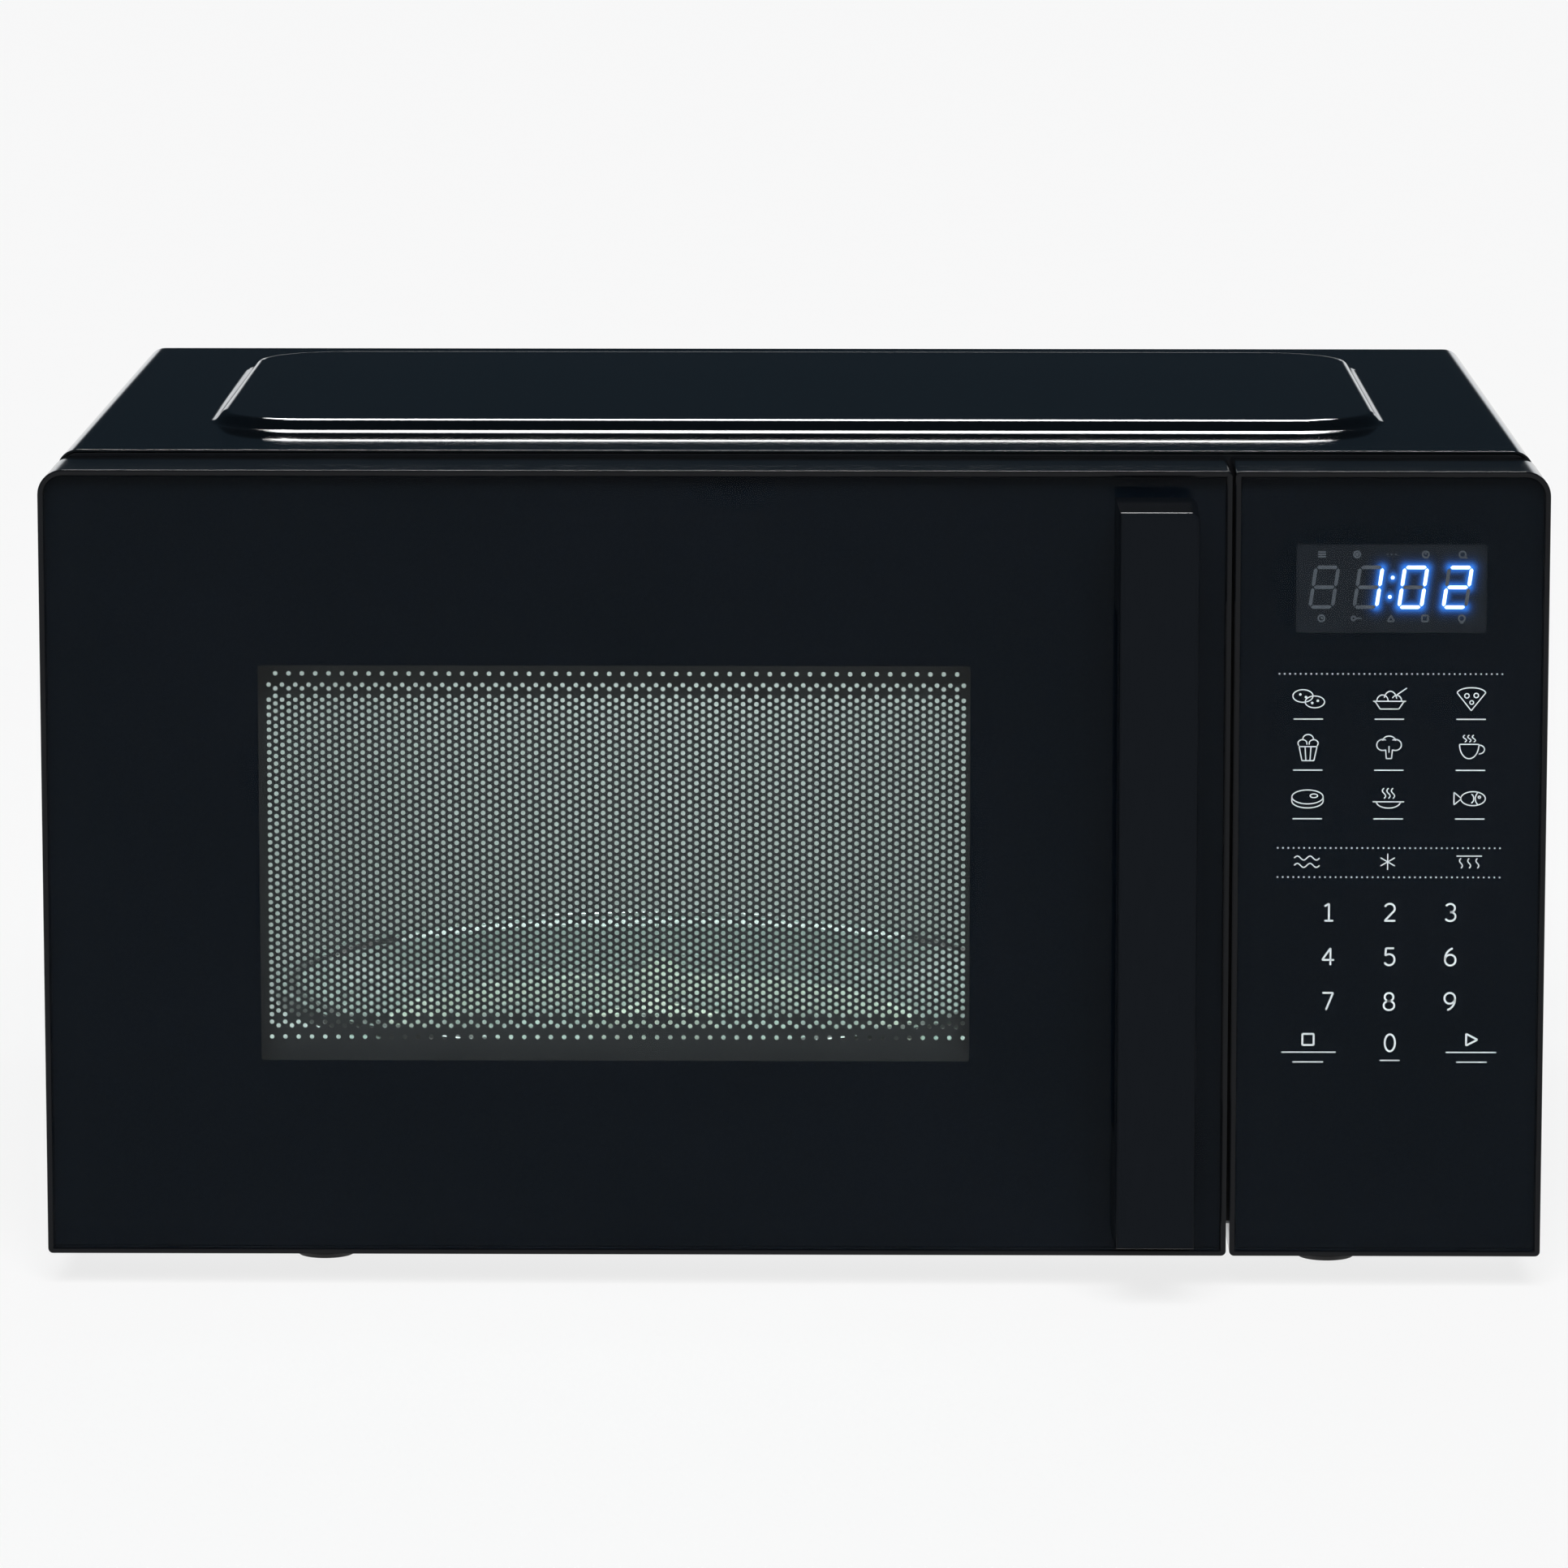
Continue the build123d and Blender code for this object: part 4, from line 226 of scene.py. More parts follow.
# Windings: enamelled copper wire in layers, bound with varnish. The wires lie side by side about 1 mm
# apart, so the coil looks like fine horizontal cord with a warm gloss.
wire_mm = 1.1
copper, tree, shader, place = start_finish("enamelled_copper", {"Metallic": 0.85, "Coat Weight": 0.4})
turns = {"Scale": wave_mm / wire_mm, "bands_direction": "Z"}
wires = add(tree, "ShaderNodeTexWave", turns, {"Vector": place})
work_in(tree, shader, wires.outputs[1], ("#6d3413", "#b9683a"), (0.28, 0.5), relief_mm=0.25)
dress(copper, "transformer_windings", "fan_motor_coil")

# Circuit boards: glass-fibre board with a green mask over copper tracks. Tracks run square to each other in
# blocks some 4 mm wide, and show as a slightly lighter green.
track_mm = 4.0
circuit, tree, shader, place = start_finish("masked_circuit_board", {"IOR": 1.5, "Coat Weight": 0.5})
squares = {"Scale": 1000 / track_mm, "distance": "MANHATTAN", "feature": "F2"}
tracks = add(tree, "ShaderNodeTexVoronoi", squares, {"Vector": place})
work_in(tree, shader, tracks.outputs["Distance"], ("#0d3a1d", "#1e6a38"), (0.3, 0.45), relief_mm=0.03)
dress(circuit, "filter_board", "control_board")

# Fan, shroud and air duct: the blade is pushed on the rotor's shaft, and shroud and duct lead its air. All
# three are grey polypropylene mouldings with an even eroded grain of about 1 mm.
eroded_mm = 1.0
grey_moulding, tree, shader, place = start_finish("grey_polypropylene", {"IOR": 1.49})
eroded = add(tree, "ShaderNodeTexNoise", {"Scale": 1000 / eroded_mm, "Detail": 4.0}, {"Vector": place})
work_in(tree, shader, eroded.outputs[0], ("#4a4d50", "#5d6063"), (0.45, 0.65), relief_mm=0.06)
dress(grey_moulding, "fan_shroud", "fan_blade", "air_duct")

# Switches, cut-outs and diode: the safety switches of the door and small parts of the power circuit. Their
# cases are black phenolic mouldings, hard and slightly mottled.
mottle_mm = 3.0
phenolic, tree, shader, place = start_finish("black_phenolic", {"IOR": 1.55})
mottle = add(tree, "ShaderNodeTexNoise", {"Scale": 1000 / mottle_mm, "Detail": 5.0}, {"Vector": place})
work_in(tree, shader, mottle.outputs[0], ("#17171a", "#2b2b2e"), (0.35, 0.5), relief_mm=0.03)
dress(phenolic, "door_switches", "thermal_cutouts", "hv_diode")

# Grill heaters: two tubes of milky quartz under the reflector, held in unglazed ceramic ends. They are off
# white and chalky with faint cloudy streaks.
cloud_mm = 6.0
quartz, tree, shader, place = start_finish("milky_quartz", {"IOR": 1.46, "Subsurface Weight": 0.1})
clouds = add(tree, "ShaderNodeTexNoise", {"Scale": 1000 / cloud_mm, "Detail": 3.0}, {"Vector": place})
work_in(tree, shader, clouds.outputs[0], ("#c8c4ba", "#e6e3dc"), (0.3, 0.6), relief_mm=0.02)
dress(quartz, "grill_heaters")

# Lamp: the small clear bulb that lights the cavity, with its neck in the socket of the holder. It is thin
# blown glass with a slight warm tint and a wavy wall.
bulb_wave_mm = 8.0
bulb, tree, shader, place = start_clear("blown_bulb_glass", "#f6efdf", {"IOR": 1.5, "Roughness": 0.02})
waves = add(tree, "ShaderNodeTexNoise", {"Scale": 1000 / bulb_wave_mm, "Detail": 0.0}, {"Vector": place})
work_in(tree, shader, waves.outputs[0], relief_mm=0.1)
dress(bulb, "lamp_bulb")

# Door frame and control housing: the rims that hold the glass, moulded from black ABS in a polished mould.
# They have a deep gloss with a faint flow in the sheen, and their edges shade as if rounded.
sink_mm = 18.0
sink_depth_mm = 0.005
rim_edge_mm = 0.8
gloss_black, tree, shader, place = start_finish("polished_black_abs", {"IOR": 1.26})
sheen = add(tree, "ShaderNodeTexNoise", {"Scale": 1000 / sink_mm, "Detail": 2.0}, {"Vector": place})
work_in(tree, shader, sheen.outputs[0], ("#05070a", "#0a0c10"), (0.08, 0.11), sink_depth_mm, rim_edge_mm)
dress(gloss_black, "door_frame", "control_housing")

# Choke cover and cord gland: the ring that clips over the choke at the back of the door, and the bush in
# the rear panel. Both are black polypropylene with a fine spark-eroded grain, which looks satin.
satin_mm = 0.8
satin_black, tree, shader, place = start_finish("satin_black_polypropylene", {"IOR": 1.49})
satin = add(tree, "ShaderNodeTexNoise", {"Scale": 1000 / satin_mm, "Detail": 4.0}, {"Vector": place})
work_in(tree, shader, satin.outputs[0], ("#131415", "#1f2021"), (0.4, 0.55), relief_mm=0.05)
dress(satin_black, "choke_cover", "cord_gland")

# Door and panel glass: 4 mm toughened float glass with a low-reflection coat, set flush in the black rims.
# It is nearly invisible itself; the black is a print on its back. Rollers leave very long shallow waves.
roller_wave_mm = 90.0
pane, tree, shader, place = start_clear("toughened_float_glass", "#f3f7f7", {"IOR": 1.15, "Roughness": 0.0})
wavy = add(tree, "ShaderNodeTexNoise", {"Scale": 1000 / roller_wave_mm, "Detail": 0.0}, {"Vector": place})
work_in(tree, shader, wavy.outputs[0], relief_mm=0.02)
dress(pane, "door_glass", "control_glass", "door_inner_window")

# Door print: black ceramic ink fired on the back of the door glass, all over except for the window. It is
# dead black with a touch of blue, and slightly cloudy where the screen print lies thinner.
ink_cloud_mm = 60.0
ink_front_mm = 0.14
ink_back_mm = 0.08
ink_margin_mm = 0.1
door_corners = (0.3, 0.3, 0.3, 4.0)
window_left, window_right, window_low, window_high = -160.9, 53.1, 69.6, 190.2
window_corner_mm = 0.8


def outline(left, right, low, high, corners, steps=6):
    """Points round a rectangle with round corners, from the lower left anticlockwise: four arcs in turn."""
    turn = np.radians(np.array([180, 270, 0, 90])[:, None] + np.linspace(0, 90, steps)[None, :])
    radius = np.array(corners, float)[:, None]
    middle_x = np.array([left, right, right, left])[:, None] + radius * np.array([1, -1, -1, 1])[:, None]
    middle_z = np.array([low, low, high, high])[:, None] + radius * np.array([1, 1, -1, -1])[:, None]
    points = np.stack([middle_x + radius * np.cos(turn), middle_z + radius * np.sin(turn)], axis=-1)
    return points.reshape(-1, 2)


def make_piece(name, points, faces, finish, body):
    """A mesh piece in metres from points in millimetres, riding on a body and taking a slot's finish."""
    mesh = bpy.data.meshes.new(name)
    mesh.from_pydata((np.asarray(points, float) / 1000).tolist(), [], [list(face) for face in faces])
    mesh.materials.append(finish)
    piece = bpy.data.objects.new(name, mesh)
    bpy.context.scene.collection.objects.link(piece)
    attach(piece, body)
    return piece


def wrap(rows, columns, close_rows=True, close_columns=True):
    """Quads over a grid of points, closed end to end if asked: each corner is the next row or column."""
    row = np.arange(rows if close_rows else rows - 1)[:, None]
    column = np.arange(columns if close_columns else columns - 1)[None, :]
    next_row = (row + 1) % rows
    next_column = (column + 1) % columns
    quads = [row * columns + column, row * columns + next_column]
    quads += [next_row * columns + next_column, next_row * columns + column]
    return np.stack(np.broadcast_arrays(*quads), axis=-1).reshape(-1, 4)


def stand(flat, depth):
    """Points of a flat drawing stood upright: its two numbers become X and Z, and the depth becomes Y."""
    return np.stack([flat[:, 0], np.broadcast_to(depth, len(flat)), flat[:, 1]], axis=-1)


def framed_plate(outer, inner, front, back):
    """A flat plate with one opening: its four-sided section carried round the loop between its edges."""
    section = [(outer, front), (inner, front), (inner, back), (outer, back)]
    points = np.concatenate([stand(loop, depth) for loop, depth in section])
    return points, wrap(len(section), len(outer))


def print_edge(low_corner, high_corner, corners):
    """Outline of a print: the front rectangle of its glass, less a margin on every side."""
    left, low = low_corner[0] + ink_margin_mm, low_corner[2] + ink_margin_mm
    right, high = high_corner[0] - ink_margin_mm, high_corner[2] - ink_margin_mm
    return outline(left, right, low, high, corners)


dull_sockets = {"IOR": 1.1, "Roughness": 0.9, "Specular IOR Level": 0.0}
ink, tree, shader, place = start_finish("fired_black_ink", dull_sockets)
cloud = add(tree, "ShaderNodeTexNoise", {"Scale": 1000 / ink_cloud_mm, "Detail": 2.0}, {"Vector": place})
work_in(tree, shader, cloud.outputs[0], ("#04080d", "#080c12"))
glass_low, glass_high = (np.array(corner) * 1000 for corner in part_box("door_glass"))
print_front, print_back = glass_high[1] - ink_front_mm, glass_high[1] - ink_back_mm
edge = print_edge(glass_low, glass_high, door_corners)
opening = outline(window_left, window_right, window_low, window_high, (window_corner_mm,) * 4)
points, faces = framed_plate(edge, opening, print_front, print_back)
make_piece("door_print", points, faces, ink, "door")

# Door screen: thin steel sheet, black coated, punched with round holes in a close hexagonal pattern that
# keeps the microwaves in. Along the top and bottom the rows thin out before the plain margin starts.
column_mm = 2.02
hole_mm = 1.46
field_left, field_right, field_low, field_high = -159.5, 52.0, 73.2, 186.3
half_step_count = 97
thinned_steps = (1, 2, 5)
pitch_mm = 2 * (field_high - field_low - hole_mm) / half_step_count
punch_sides = 8
spare_rows = 3
spare_columns = 2
screen_grit_mm = 0.7


def punched_sheet(first, last, edges, depth):
    """Hexagon cells in staggered columns, most with an eight-sided hole, clipped to the sheet's edges.

    A cell is a band of triangles between its six corners and the hole, and a plain cell is one hexagon.
    Points that agree to 0.001 mm are merged, and faces that the clipping left flat are dropped.
    """
    left, right, low, high = edges
    margin_rows = int((high - field_high) / pitch_mm) + spare_rows
    steps = np.arange(-margin_rows, int((field_high - low) / pitch_mm) + spare_rows)
    column, step = np.meshgrid(np.arange(first, last), steps, indexing="ij")
    half_steps = (2 * step + 1 - column % 2).ravel()
    field_middle = (field_left + field_right) / 2
    x = (field_middle + column * column_mm).ravel()
    z = field_high - hole_mm / 2 - half_steps * pitch_mm / 2
    from_low = half_step_count - half_steps
    inside = np.abs(x - field_middle) < (field_right - field_left) / 2
    inside &= (half_steps >= 0) & (from_low >= 0)
    punched = inside & ~np.isin(half_steps, thinned_steps) & ~np.isin(from_low, thinned_steps)
    kept = (z > low - pitch_mm / 2) & (z < high + pitch_mm / 2)
    kept &= (x > left - column_mm) & (x < right + column_mm)
    corner = np.stack([np.array([-2, -1, 1, 2, 1, -1]) / 3 * column_mm,
                       np.array([0, -1, -1, 0, 1, 1]) / 2 * pitch_mm], axis=-1)
    turn = np.radians(180 + np.arange(punch_sides) * 360 / punch_sides)
    hole = hole_mm / 2 * np.stack([np.cos(turn), np.sin(turn)], axis=-1)
    middle = np.stack([x, z], axis=-1)[:, None, :]
    cells = middle[kept & punched] + np.concatenate([corner, hole])[None, :, :]
    plain = middle[kept & ~punched] + corner[None, :, :]
    band = [(0, 7, 6), (0, 1, 7), (1, 8, 7), (1, 2, 8), (2, 9, 8)]
    band += [(2, 3, 9), (3, 10, 9), (3, 11, 10), (3, 4, 11)]
    band += [(4, 12, 11), (4, 5, 12), (5, 13, 12), (5, 0, 13), (0, 6, 13)]
    count = len(corner) + punch_sides
    triangles = (np.arange(len(cells))[:, None, None] * count + np.array(band)[None, :, :]).reshape(-1, 3)
    hexagons = len(cells) * count + np.arange(len(plain) * len(corner)).reshape(-1, len(corner))
    flat = np.concatenate([cells.reshape(-1, 2), plain.reshape(-1, 2)])
    flat = np.clip(flat, (left, low), (right, high))
    shared, index = np.unique(np.round(flat, 3), axis=0, return_inverse=True)
    index = index.ravel()
    polygons = index[triangles].tolist() + index[hexagons].tolist()
    polygons = [list(dict.fromkeys(polygon)) for polygon in polygons]
    return stand(shared, depth), [polygon for polygon in polygons if len(polygon) > 2]


coated, tree, shader, place = start_finish("black_coated_sheet", {"IOR": 1.35})
grit = add(tree, "ShaderNodeTexNoise", {"Scale": 1000 / screen_grit_mm, "Detail": 3.0}, {"Vector": place})
work_in(tree, shader, grit.outputs[0], ("#131517", "#1d2022"), (0.5, 0.65), relief_mm=0.02)
dress(coated, "door_choke_panel")
sheet_low, sheet_high = (np.array(corner) * 1000 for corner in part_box("door_screen"))
sheet_edges = (sheet_low[0], sheet_high[0], sheet_low[2], sheet_high[2])
half_columns = int((sheet_high[0] - sheet_low[0]) / column_mm / 2) + spare_columns
for name, first, last in (("door_screen_left", -half_columns, 0), ("door_screen_right", 0, half_columns)):
    points, faces = punched_sheet(first, last, sheet_edges, sheet_low[1])
    screen = make_piece(name, points, faces, coated, "door")
    thickness = screen.modifiers.new("thickness", "SOLIDIFY")
    thickness.thickness = (sheet_high[1] - sheet_low[1]) / 1000
    thickness.offset = -1.0
    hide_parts("door_screen")

# Handle: a moulded bar on two posts, screwed on from inside the door and lacquered in a dark charcoal. The
# lacquer has a low gloss and very fine upright lines, drawn 0.5 mm apart so that they show.
lacquer_line_mm = 0.5
lacquer_stretch = (1.0, 1.0, 0.04)
lacquer, tree, shader, place = start_finish("charcoal_lacquer", {"IOR": 1.08})
drawn = add(tree, "ShaderNodeMapping", {"Scale": lacquer_stretch}, {"Vector": place})
grain = {"Scale": 1000 / lacquer_line_mm, "Detail": 2.0}
fine = add(tree, "ShaderNodeTexNoise", grain, {"Vector": drawn.outputs[0]})
work_in(tree, shader, fine.outputs[0], ("#101317", "#15181c"), (0.12, 0.17), relief_mm=0.006)
dress(lacquer, "door_handle")

# Screws: plated steel with pan heads and a pressed cross recess, seven through the rear lip of the cover.
# The two handle screws are hidden inside the door and keep their plain solids.
head_mm = 3.6
head_height_mm = 2.2
head_rim = 0.35
head_rings = 25
head_sides = 96
shank_mm = 1.9
shank_length_mm = 8.0
recess_mm = 2.1
recess_width_mm = 0.9
recess_depth_mm = 1.2
recess_taper = 0.5
top_screw_x = 183
side_screw_z = 214.0
plating_mm = 1.5
plated, tree, shader, place = start_finish("plated_screw_steel", {"Metallic": 1.0})
plating = add(tree, "ShaderNodeTexNoise", {"Scale": 1000 / plating_mm, "Detail": 3.0}, {"Vector": place})
work_in(tree, shader, plating.outputs[0], ("#7d7f80", "#a0a2a3"), (0.25, 0.45), relief_mm=0.01)
dress(plated, "handle_screws")
screw_low, screw_high = (np.array(corner) * 1000 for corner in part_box("cover_screws"))
across = np.linspace(0, 1, head_rings)
around = np.linspace(0, 2 * np.pi, head_sides, endpoint=False)
reach = head_mm * across[:, None] * np.ones_like(around)[None, :]
crown = np.sqrt(np.clip(1 - across ** 2, 0, 1))
dome = head_height_mm * (head_rim + (1 - head_rim) * crown)[:, None] * np.ones_like(around)
head_x, head_z = reach * np.cos(around), reach * np.sin(around)
in_cross = (np.minimum(np.abs(head_x), np.abs(head_z)) < recess_width_mm / 2) & (reach < recess_mm)
dome = np.where(in_cross, dome - recess_depth_mm * (1 - recess_taper * reach / recess_mm), dome)
skirt = np.array([0.0, 0.0, -shank_length_mm, -shank_length_mm])[:, None]
skirt_reach = np.array([head_mm, shank_mm, shank_mm, 0.0])[:, None]
turned_x = np.concatenate([head_x, skirt_reach * np.cos(around)])
turned_y = np.concatenate([dome, skirt * np.ones_like(around)])
turned_z = np.concatenate([head_z, skirt_reach * np.sin(around)])
lip_x, lip_z = screw_high[0] - head_mm, screw_high[2] - head_mm
side_low = screw_low[2] + head_mm
spots = np.array([
    (-top_screw_x, lip_z), (0, lip_z), (top_screw_x, lip_z), (-lip_x, side_low), (lip_x, side_low),
    (-lip_x, side_screw_z), (lip_x, side_screw_z),
])
seat = screw_high[1] - head_height_mm
one = np.stack([turned_x, turned_y, turned_z], axis=-1).reshape(-1, 3)
points = (stand(spots, seat)[:, None, :] + one[None, :, :]).reshape(-1, 3)
quads = wrap(len(turned_x), len(around), close_rows=False)
faces = (np.arange(len(spots))[:, None, None] * len(one) + quads[None, :, ::-1]).reshape(-1, 4)
screws = make_piece("lip_screws", points, faces, plated, "cabinet")
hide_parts("cover_screws")

# Latch spring: an open coil of spring steel wire hung between the hook bar and a peg of the door frame,
# which pulls the hooks down. The wire is drawn and lightly oiled, so it is bright with darker patches.
coil_turns = 12
coil_steps = 24
wire_radius_mm = 0.45
wire_sides = 8
drawn_line_mm = 0.8
spring_steel, tree, shader, place = start_finish("drawn_spring_steel", {"Metallic": 1.0})
oiled = add(tree, "ShaderNodeTexNoise", {"Scale": 1000 / drawn_line_mm, "Detail": 2.0}, {"Vector": place})
work_in(tree, shader, oiled.outputs[0], ("#77797b", "#9c9ea0"), (0.22, 0.4))
spring_low, spring_high = (np.array(corner) * 1000 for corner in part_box("latch_spring"))
along = np.linspace(0, 1, coil_turns * coil_steps + 1)
round_wire = np.linspace(0, 2 * np.pi, wire_sides, endpoint=False)
sweep = 2 * np.pi * coil_turns * along
coil_mm = (spring_high[0] - spring_low[0]) / 2 - wire_radius_mm
rise = spring_low[2] + wire_radius_mm + (spring_high[2] - spring_low[2] - 2 * wire_radius_mm) * along
outward = np.stack([np.cos(sweep), np.sin(sweep), np.zeros_like(sweep)], axis=-1)
centre = np.array([(spring_low[0] + spring_high[0]) / 2, (spring_low[1] + spring_high[1]) / 2, 0.0])
path = centre + coil_mm * outward + np.stack([0 * rise, 0 * rise, rise], axis=-1)
tube = path[:, None, :] + wire_radius_mm * np.cos(round_wire)[None, :, None] * outward[:, None, :]
tube = tube + wire_radius_mm * np.sin(round_wire)[None, :, None] * np.array([0.0, 0.0, 1.0])
faces = wrap(len(along), wire_sides, close_rows=False)[:, ::-1].tolist()
last = len(along) * wire_sides - 1
faces += [list(range(wire_sides)), list(range(last, last - wire_sides, -1))]
coil = make_piece("latch_coil", tube.reshape(-1, 3), faces, spring_steel, "latch")
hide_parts("latch_spring")

# Panel print: the back of the control glass carries the same fired black ink as the door. It is screen
# printed in one coat and left open only over the display.
panel_corners = (0.3, 0.3, 4.0, 0.3)
display_corner_mm = 0.5
panel_low, panel_high = (np.array(corner) * 1000 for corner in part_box("control_glass"))
display_low, display_high = (np.array(corner) * 1000 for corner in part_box("display_module"))
edge = print_edge(panel_low, panel_high, panel_corners)
corners = (display_corner_mm,) * 4
opening = outline(display_low[0], display_high[0], display_low[2], display_high[2], corners)
points, faces = framed_plate(edge, opening, print_front, print_back)
make_piece("panel_print", points, faces, ink, "cabinet")

# Legends: pale grey ink under the glass, printed before the black. There are plain pictures with a bar below
# each, numbers on the keypad, a square and a triangle beside the nought, and rows of dots in between. Each
# bar of a key has its middle across, its height and half its length.
line_mm = 0.31
bold_mm = 0.55
bar_mm = 0.34
picture_bar_half_mm = 4.4
dot_mm = 0.25
dot_sides = 8
dots_per_row = 43
dot_left, dot_right = 145.7, 212.5
dot_rows = (188.1, 135.2, 126.3)
icon_size = 1.12
icon_columns = (154.5, 178.8, 203.3)
icon_rows = (180.5, 165.8, 150.3)
bar_rows = (174.4, 158.9, 144.1)
function_row = 131.0
key_columns = (161.2, 179.7, 198.0)
key_rows = (115.6, 102.0, 88.3)
zero_spot = (180.1, 75.6)
square_spot = (155.4, 76.6)
triangle_spot = (204.6, 76.6)
key_bars = [
    (180.1, 70.2, 3.0), (155.6, 72.7, 8.2), (204.6, 72.7, 7.6), (155.4, 69.7, 4.6), (204.8, 69.7, 4.6),
]
legend_gap_mm = 0.06
legend_grain_mm = 0.5


def arc(x, z, wide, high, start=0.0, end=360.0, steps=28):
    """Points along part of an ellipse: cosine across and sine up, between two angles in degrees."""
    turn = np.radians(np.linspace(start, end, steps))
    return np.stack([x + wide * np.cos(turn), z + high * np.sin(turn)], axis=-1)


def ripple_line(x, low, high, swing=0.45, steps=16):
    """A rising wavy stroke: one sine period across while it climbs."""
    climb = np.linspace(0, 1, steps)
    return np.stack([x + swing * np.sin(2 * np.pi * climb), low + (high - low) * climb], axis=-1)


def stroke(path, width=line_mm):
    """A flat ribbon along a path: each point moved half the width to either side, square to the path."""
    path = np.asarray(path, float)
    if len(path) < 3:
        path = np.linspace(path[0], path[-1], 3)
    closed = np.allclose(path[0], path[-1])
    heading = np.gradient(path, axis=0)
    if closed:
        heading[0] = heading[-1] = path[1] - path[-2]
    heading /= np.linalg.norm(heading, axis=1, keepdims=True)
    side = np.stack([-heading[:, 1], heading[:, 0]], axis=-1) * width / 2
    quads = wrap(2, len(path), close_rows=False, close_columns=False)
    return np.concatenate([path - side, path + side]), quads


def gather(drawings):
    """Joins drawings, each a pair of points and faces, into one whose faces count on from part to part."""
    starts = np.cumsum([0] + [len(points) for points, faces in drawings])
    joined = [face for (points, faces), start in zip(drawings, starts) for face in (faces + start).tolist()]
    return np.concatenate([points for points, faces in drawings]), joined


def many_sided(rings):
    """Drawing of separate polygons, given as an array of rings of points: each ring is one face."""
    count, sides = rings.shape[:2]
    return rings.reshape(-1, 2), np.arange(count * sides).reshape(count, sides)


pictures = {
    "tubers": [
        arc(-1.5, 0.8, 2.7, 1.7), arc(1.7, -0.8, 2.6, 1.6), arc(-2.2, 1.2, 0.2, 0.2),
        arc(-0.7, 0.5, 0.2, 0.2), arc(2.5, -0.5, 0.2, 0.2), arc(1.0, -1.1, 0.2, 0.2),
    ],
    "bowl": [
        [(-4.4, -0.6), (4.4, -0.6)], [(-3.9, -0.6), (-2.5, -2.7)], [(3.9, -0.6), (2.5, -2.7)],
        [(-2.5, -2.7), (2.5, -2.7)], arc(-1.9, -0.5, 1.5, 1.6, 0, 180), arc(0.2, -0.3, 1.7, 2.4, 10, 165),
        arc(1.9, -0.5, 1.3, 1.5, 0, 150), [(1.6, 0.9), (4.6, 3.0)],
    ],
    "slice": [
        [(-3.8, 1.7), (0.0, -3.1)], [(0.0, -3.1), (3.8, 1.7)], arc(0, 1.6, 3.8, 1.5, 0, 180),
        arc(-1.2, 0.9, 0.6, 0.6), arc(1.3, 1.0, 0.6, 0.6), arc(0.1, -0.9, 0.5, 0.5),
    ],
    "popcorn": [
        [(-2.4, 0.2), (-1.6, -3.6)], [(-1.6, -3.6), (1.6, -3.6)],
        [(1.6, -3.6), (2.4, 0.2)], [(-2.4, 0.2), (2.4, 0.2)],
        [(-0.8, 0.2), (-0.55, -3.6)], [(0.8, 0.2), (0.55, -3.6)], arc(-1.5, 1.1, 1.2, 1.0, -20, 220),
        arc(1.5, 1.1, 1.2, 1.0, -40, 200), arc(0, 2.3, 1.4, 1.2, -20, 200),
    ],
    "greens": [
        arc(-1.7, 0.7, 1.6, 1.5, 60, 300), arc(0.0, 1.8, 1.7, 1.3, 0, 180),
        arc(1.7, 0.7, 1.6, 1.5, -120, 120), [(-0.9, -0.6), (-0.7, -3.0)],
        [(0.9, -0.6), (0.7, -3.0)], [(-0.7, -3.0), (0.7, -3.0)], [(0.0, 0.4), (0.0, -1.4)],
    ],
    "cup": [
        [(-3.0, 0.9), (2.2, 0.9)], arc(-0.4, 0.9, 2.6, 3.9, 180, 360), arc(2.2, -0.5, 1.5, 1.2, -90, 90),
        ripple_line(-1.6, 1.5, 3.4), ripple_line(-0.4, 1.5, 3.4), ripple_line(0.8, 1.5, 3.4),
    ],
    "joint": [
        arc(0.0, 0.4, 4.2, 1.9), arc(0.0, -0.7, 4.2, 1.9, 180, 360), [(-4.2, 0.4), (-4.2, -0.7)],
        [(4.2, 0.4), (4.2, -0.7)], arc(1.7, 0.7, 1.0, 0.5),
    ],
    "warm": [
        [(-4.2, -0.9), (4.2, -0.9)], arc(0, -0.9, 3.2, 1.7, 180, 360), ripple_line(-1.2, 0.0, 2.8),
        ripple_line(0.0, 0.0, 2.8), ripple_line(1.2, 0.0, 2.8),
    ],
    "fish": [
        arc(0.8, 0.0, 3.3, 1.9), [(-2.4, 0.1), (-4.3, 1.7)],
        [(-4.3, 1.7), (-4.3, -1.7)], [(-4.3, -1.7), (-2.4, -0.1)],
        arc(2.5, 0.4, 0.3, 0.3), arc(3.6, 0.0, 2.2, 2.2, 135, 225), arc(0.2, 0.0, 0.8, 1.2, -80, 80),
    ],
    "waves": [
        np.stack([np.linspace(-3.4, 3.4, 40), 0.55 * np.sin(np.linspace(0, 4 * np.pi, 40)) + lift], axis=-1)
        for lift in (-1.0, 1.0)
    ],
    "flake": [
        [(-2.2 * math.cos(turn), -2.2 * math.sin(turn)), (2.2 * math.cos(turn), 2.2 * math.sin(turn))]
        for turn in np.radians((90, 30, 150))
    ],
    "grate": [[(-3.4, 1.6), (3.4, 1.6)]] + [ripple_line(x, -1.7, 1.0, 0.4) for x in (-2.2, 0.0, 2.2)],
    "square": [
        [(-1.7, -1.7), (1.7, -1.7)], [(1.7, -1.7), (1.7, 1.7)],
        [(1.7, 1.7), (-1.7, 1.7)], [(-1.7, 1.7), (-1.7, -1.7)],
    ],
    "triangle": [[(-1.5, -1.8), (1.9, 0.0)], [(1.9, 0.0), (-1.5, 1.8)], [(-1.5, 1.8), (-1.5, -1.8)]],
}
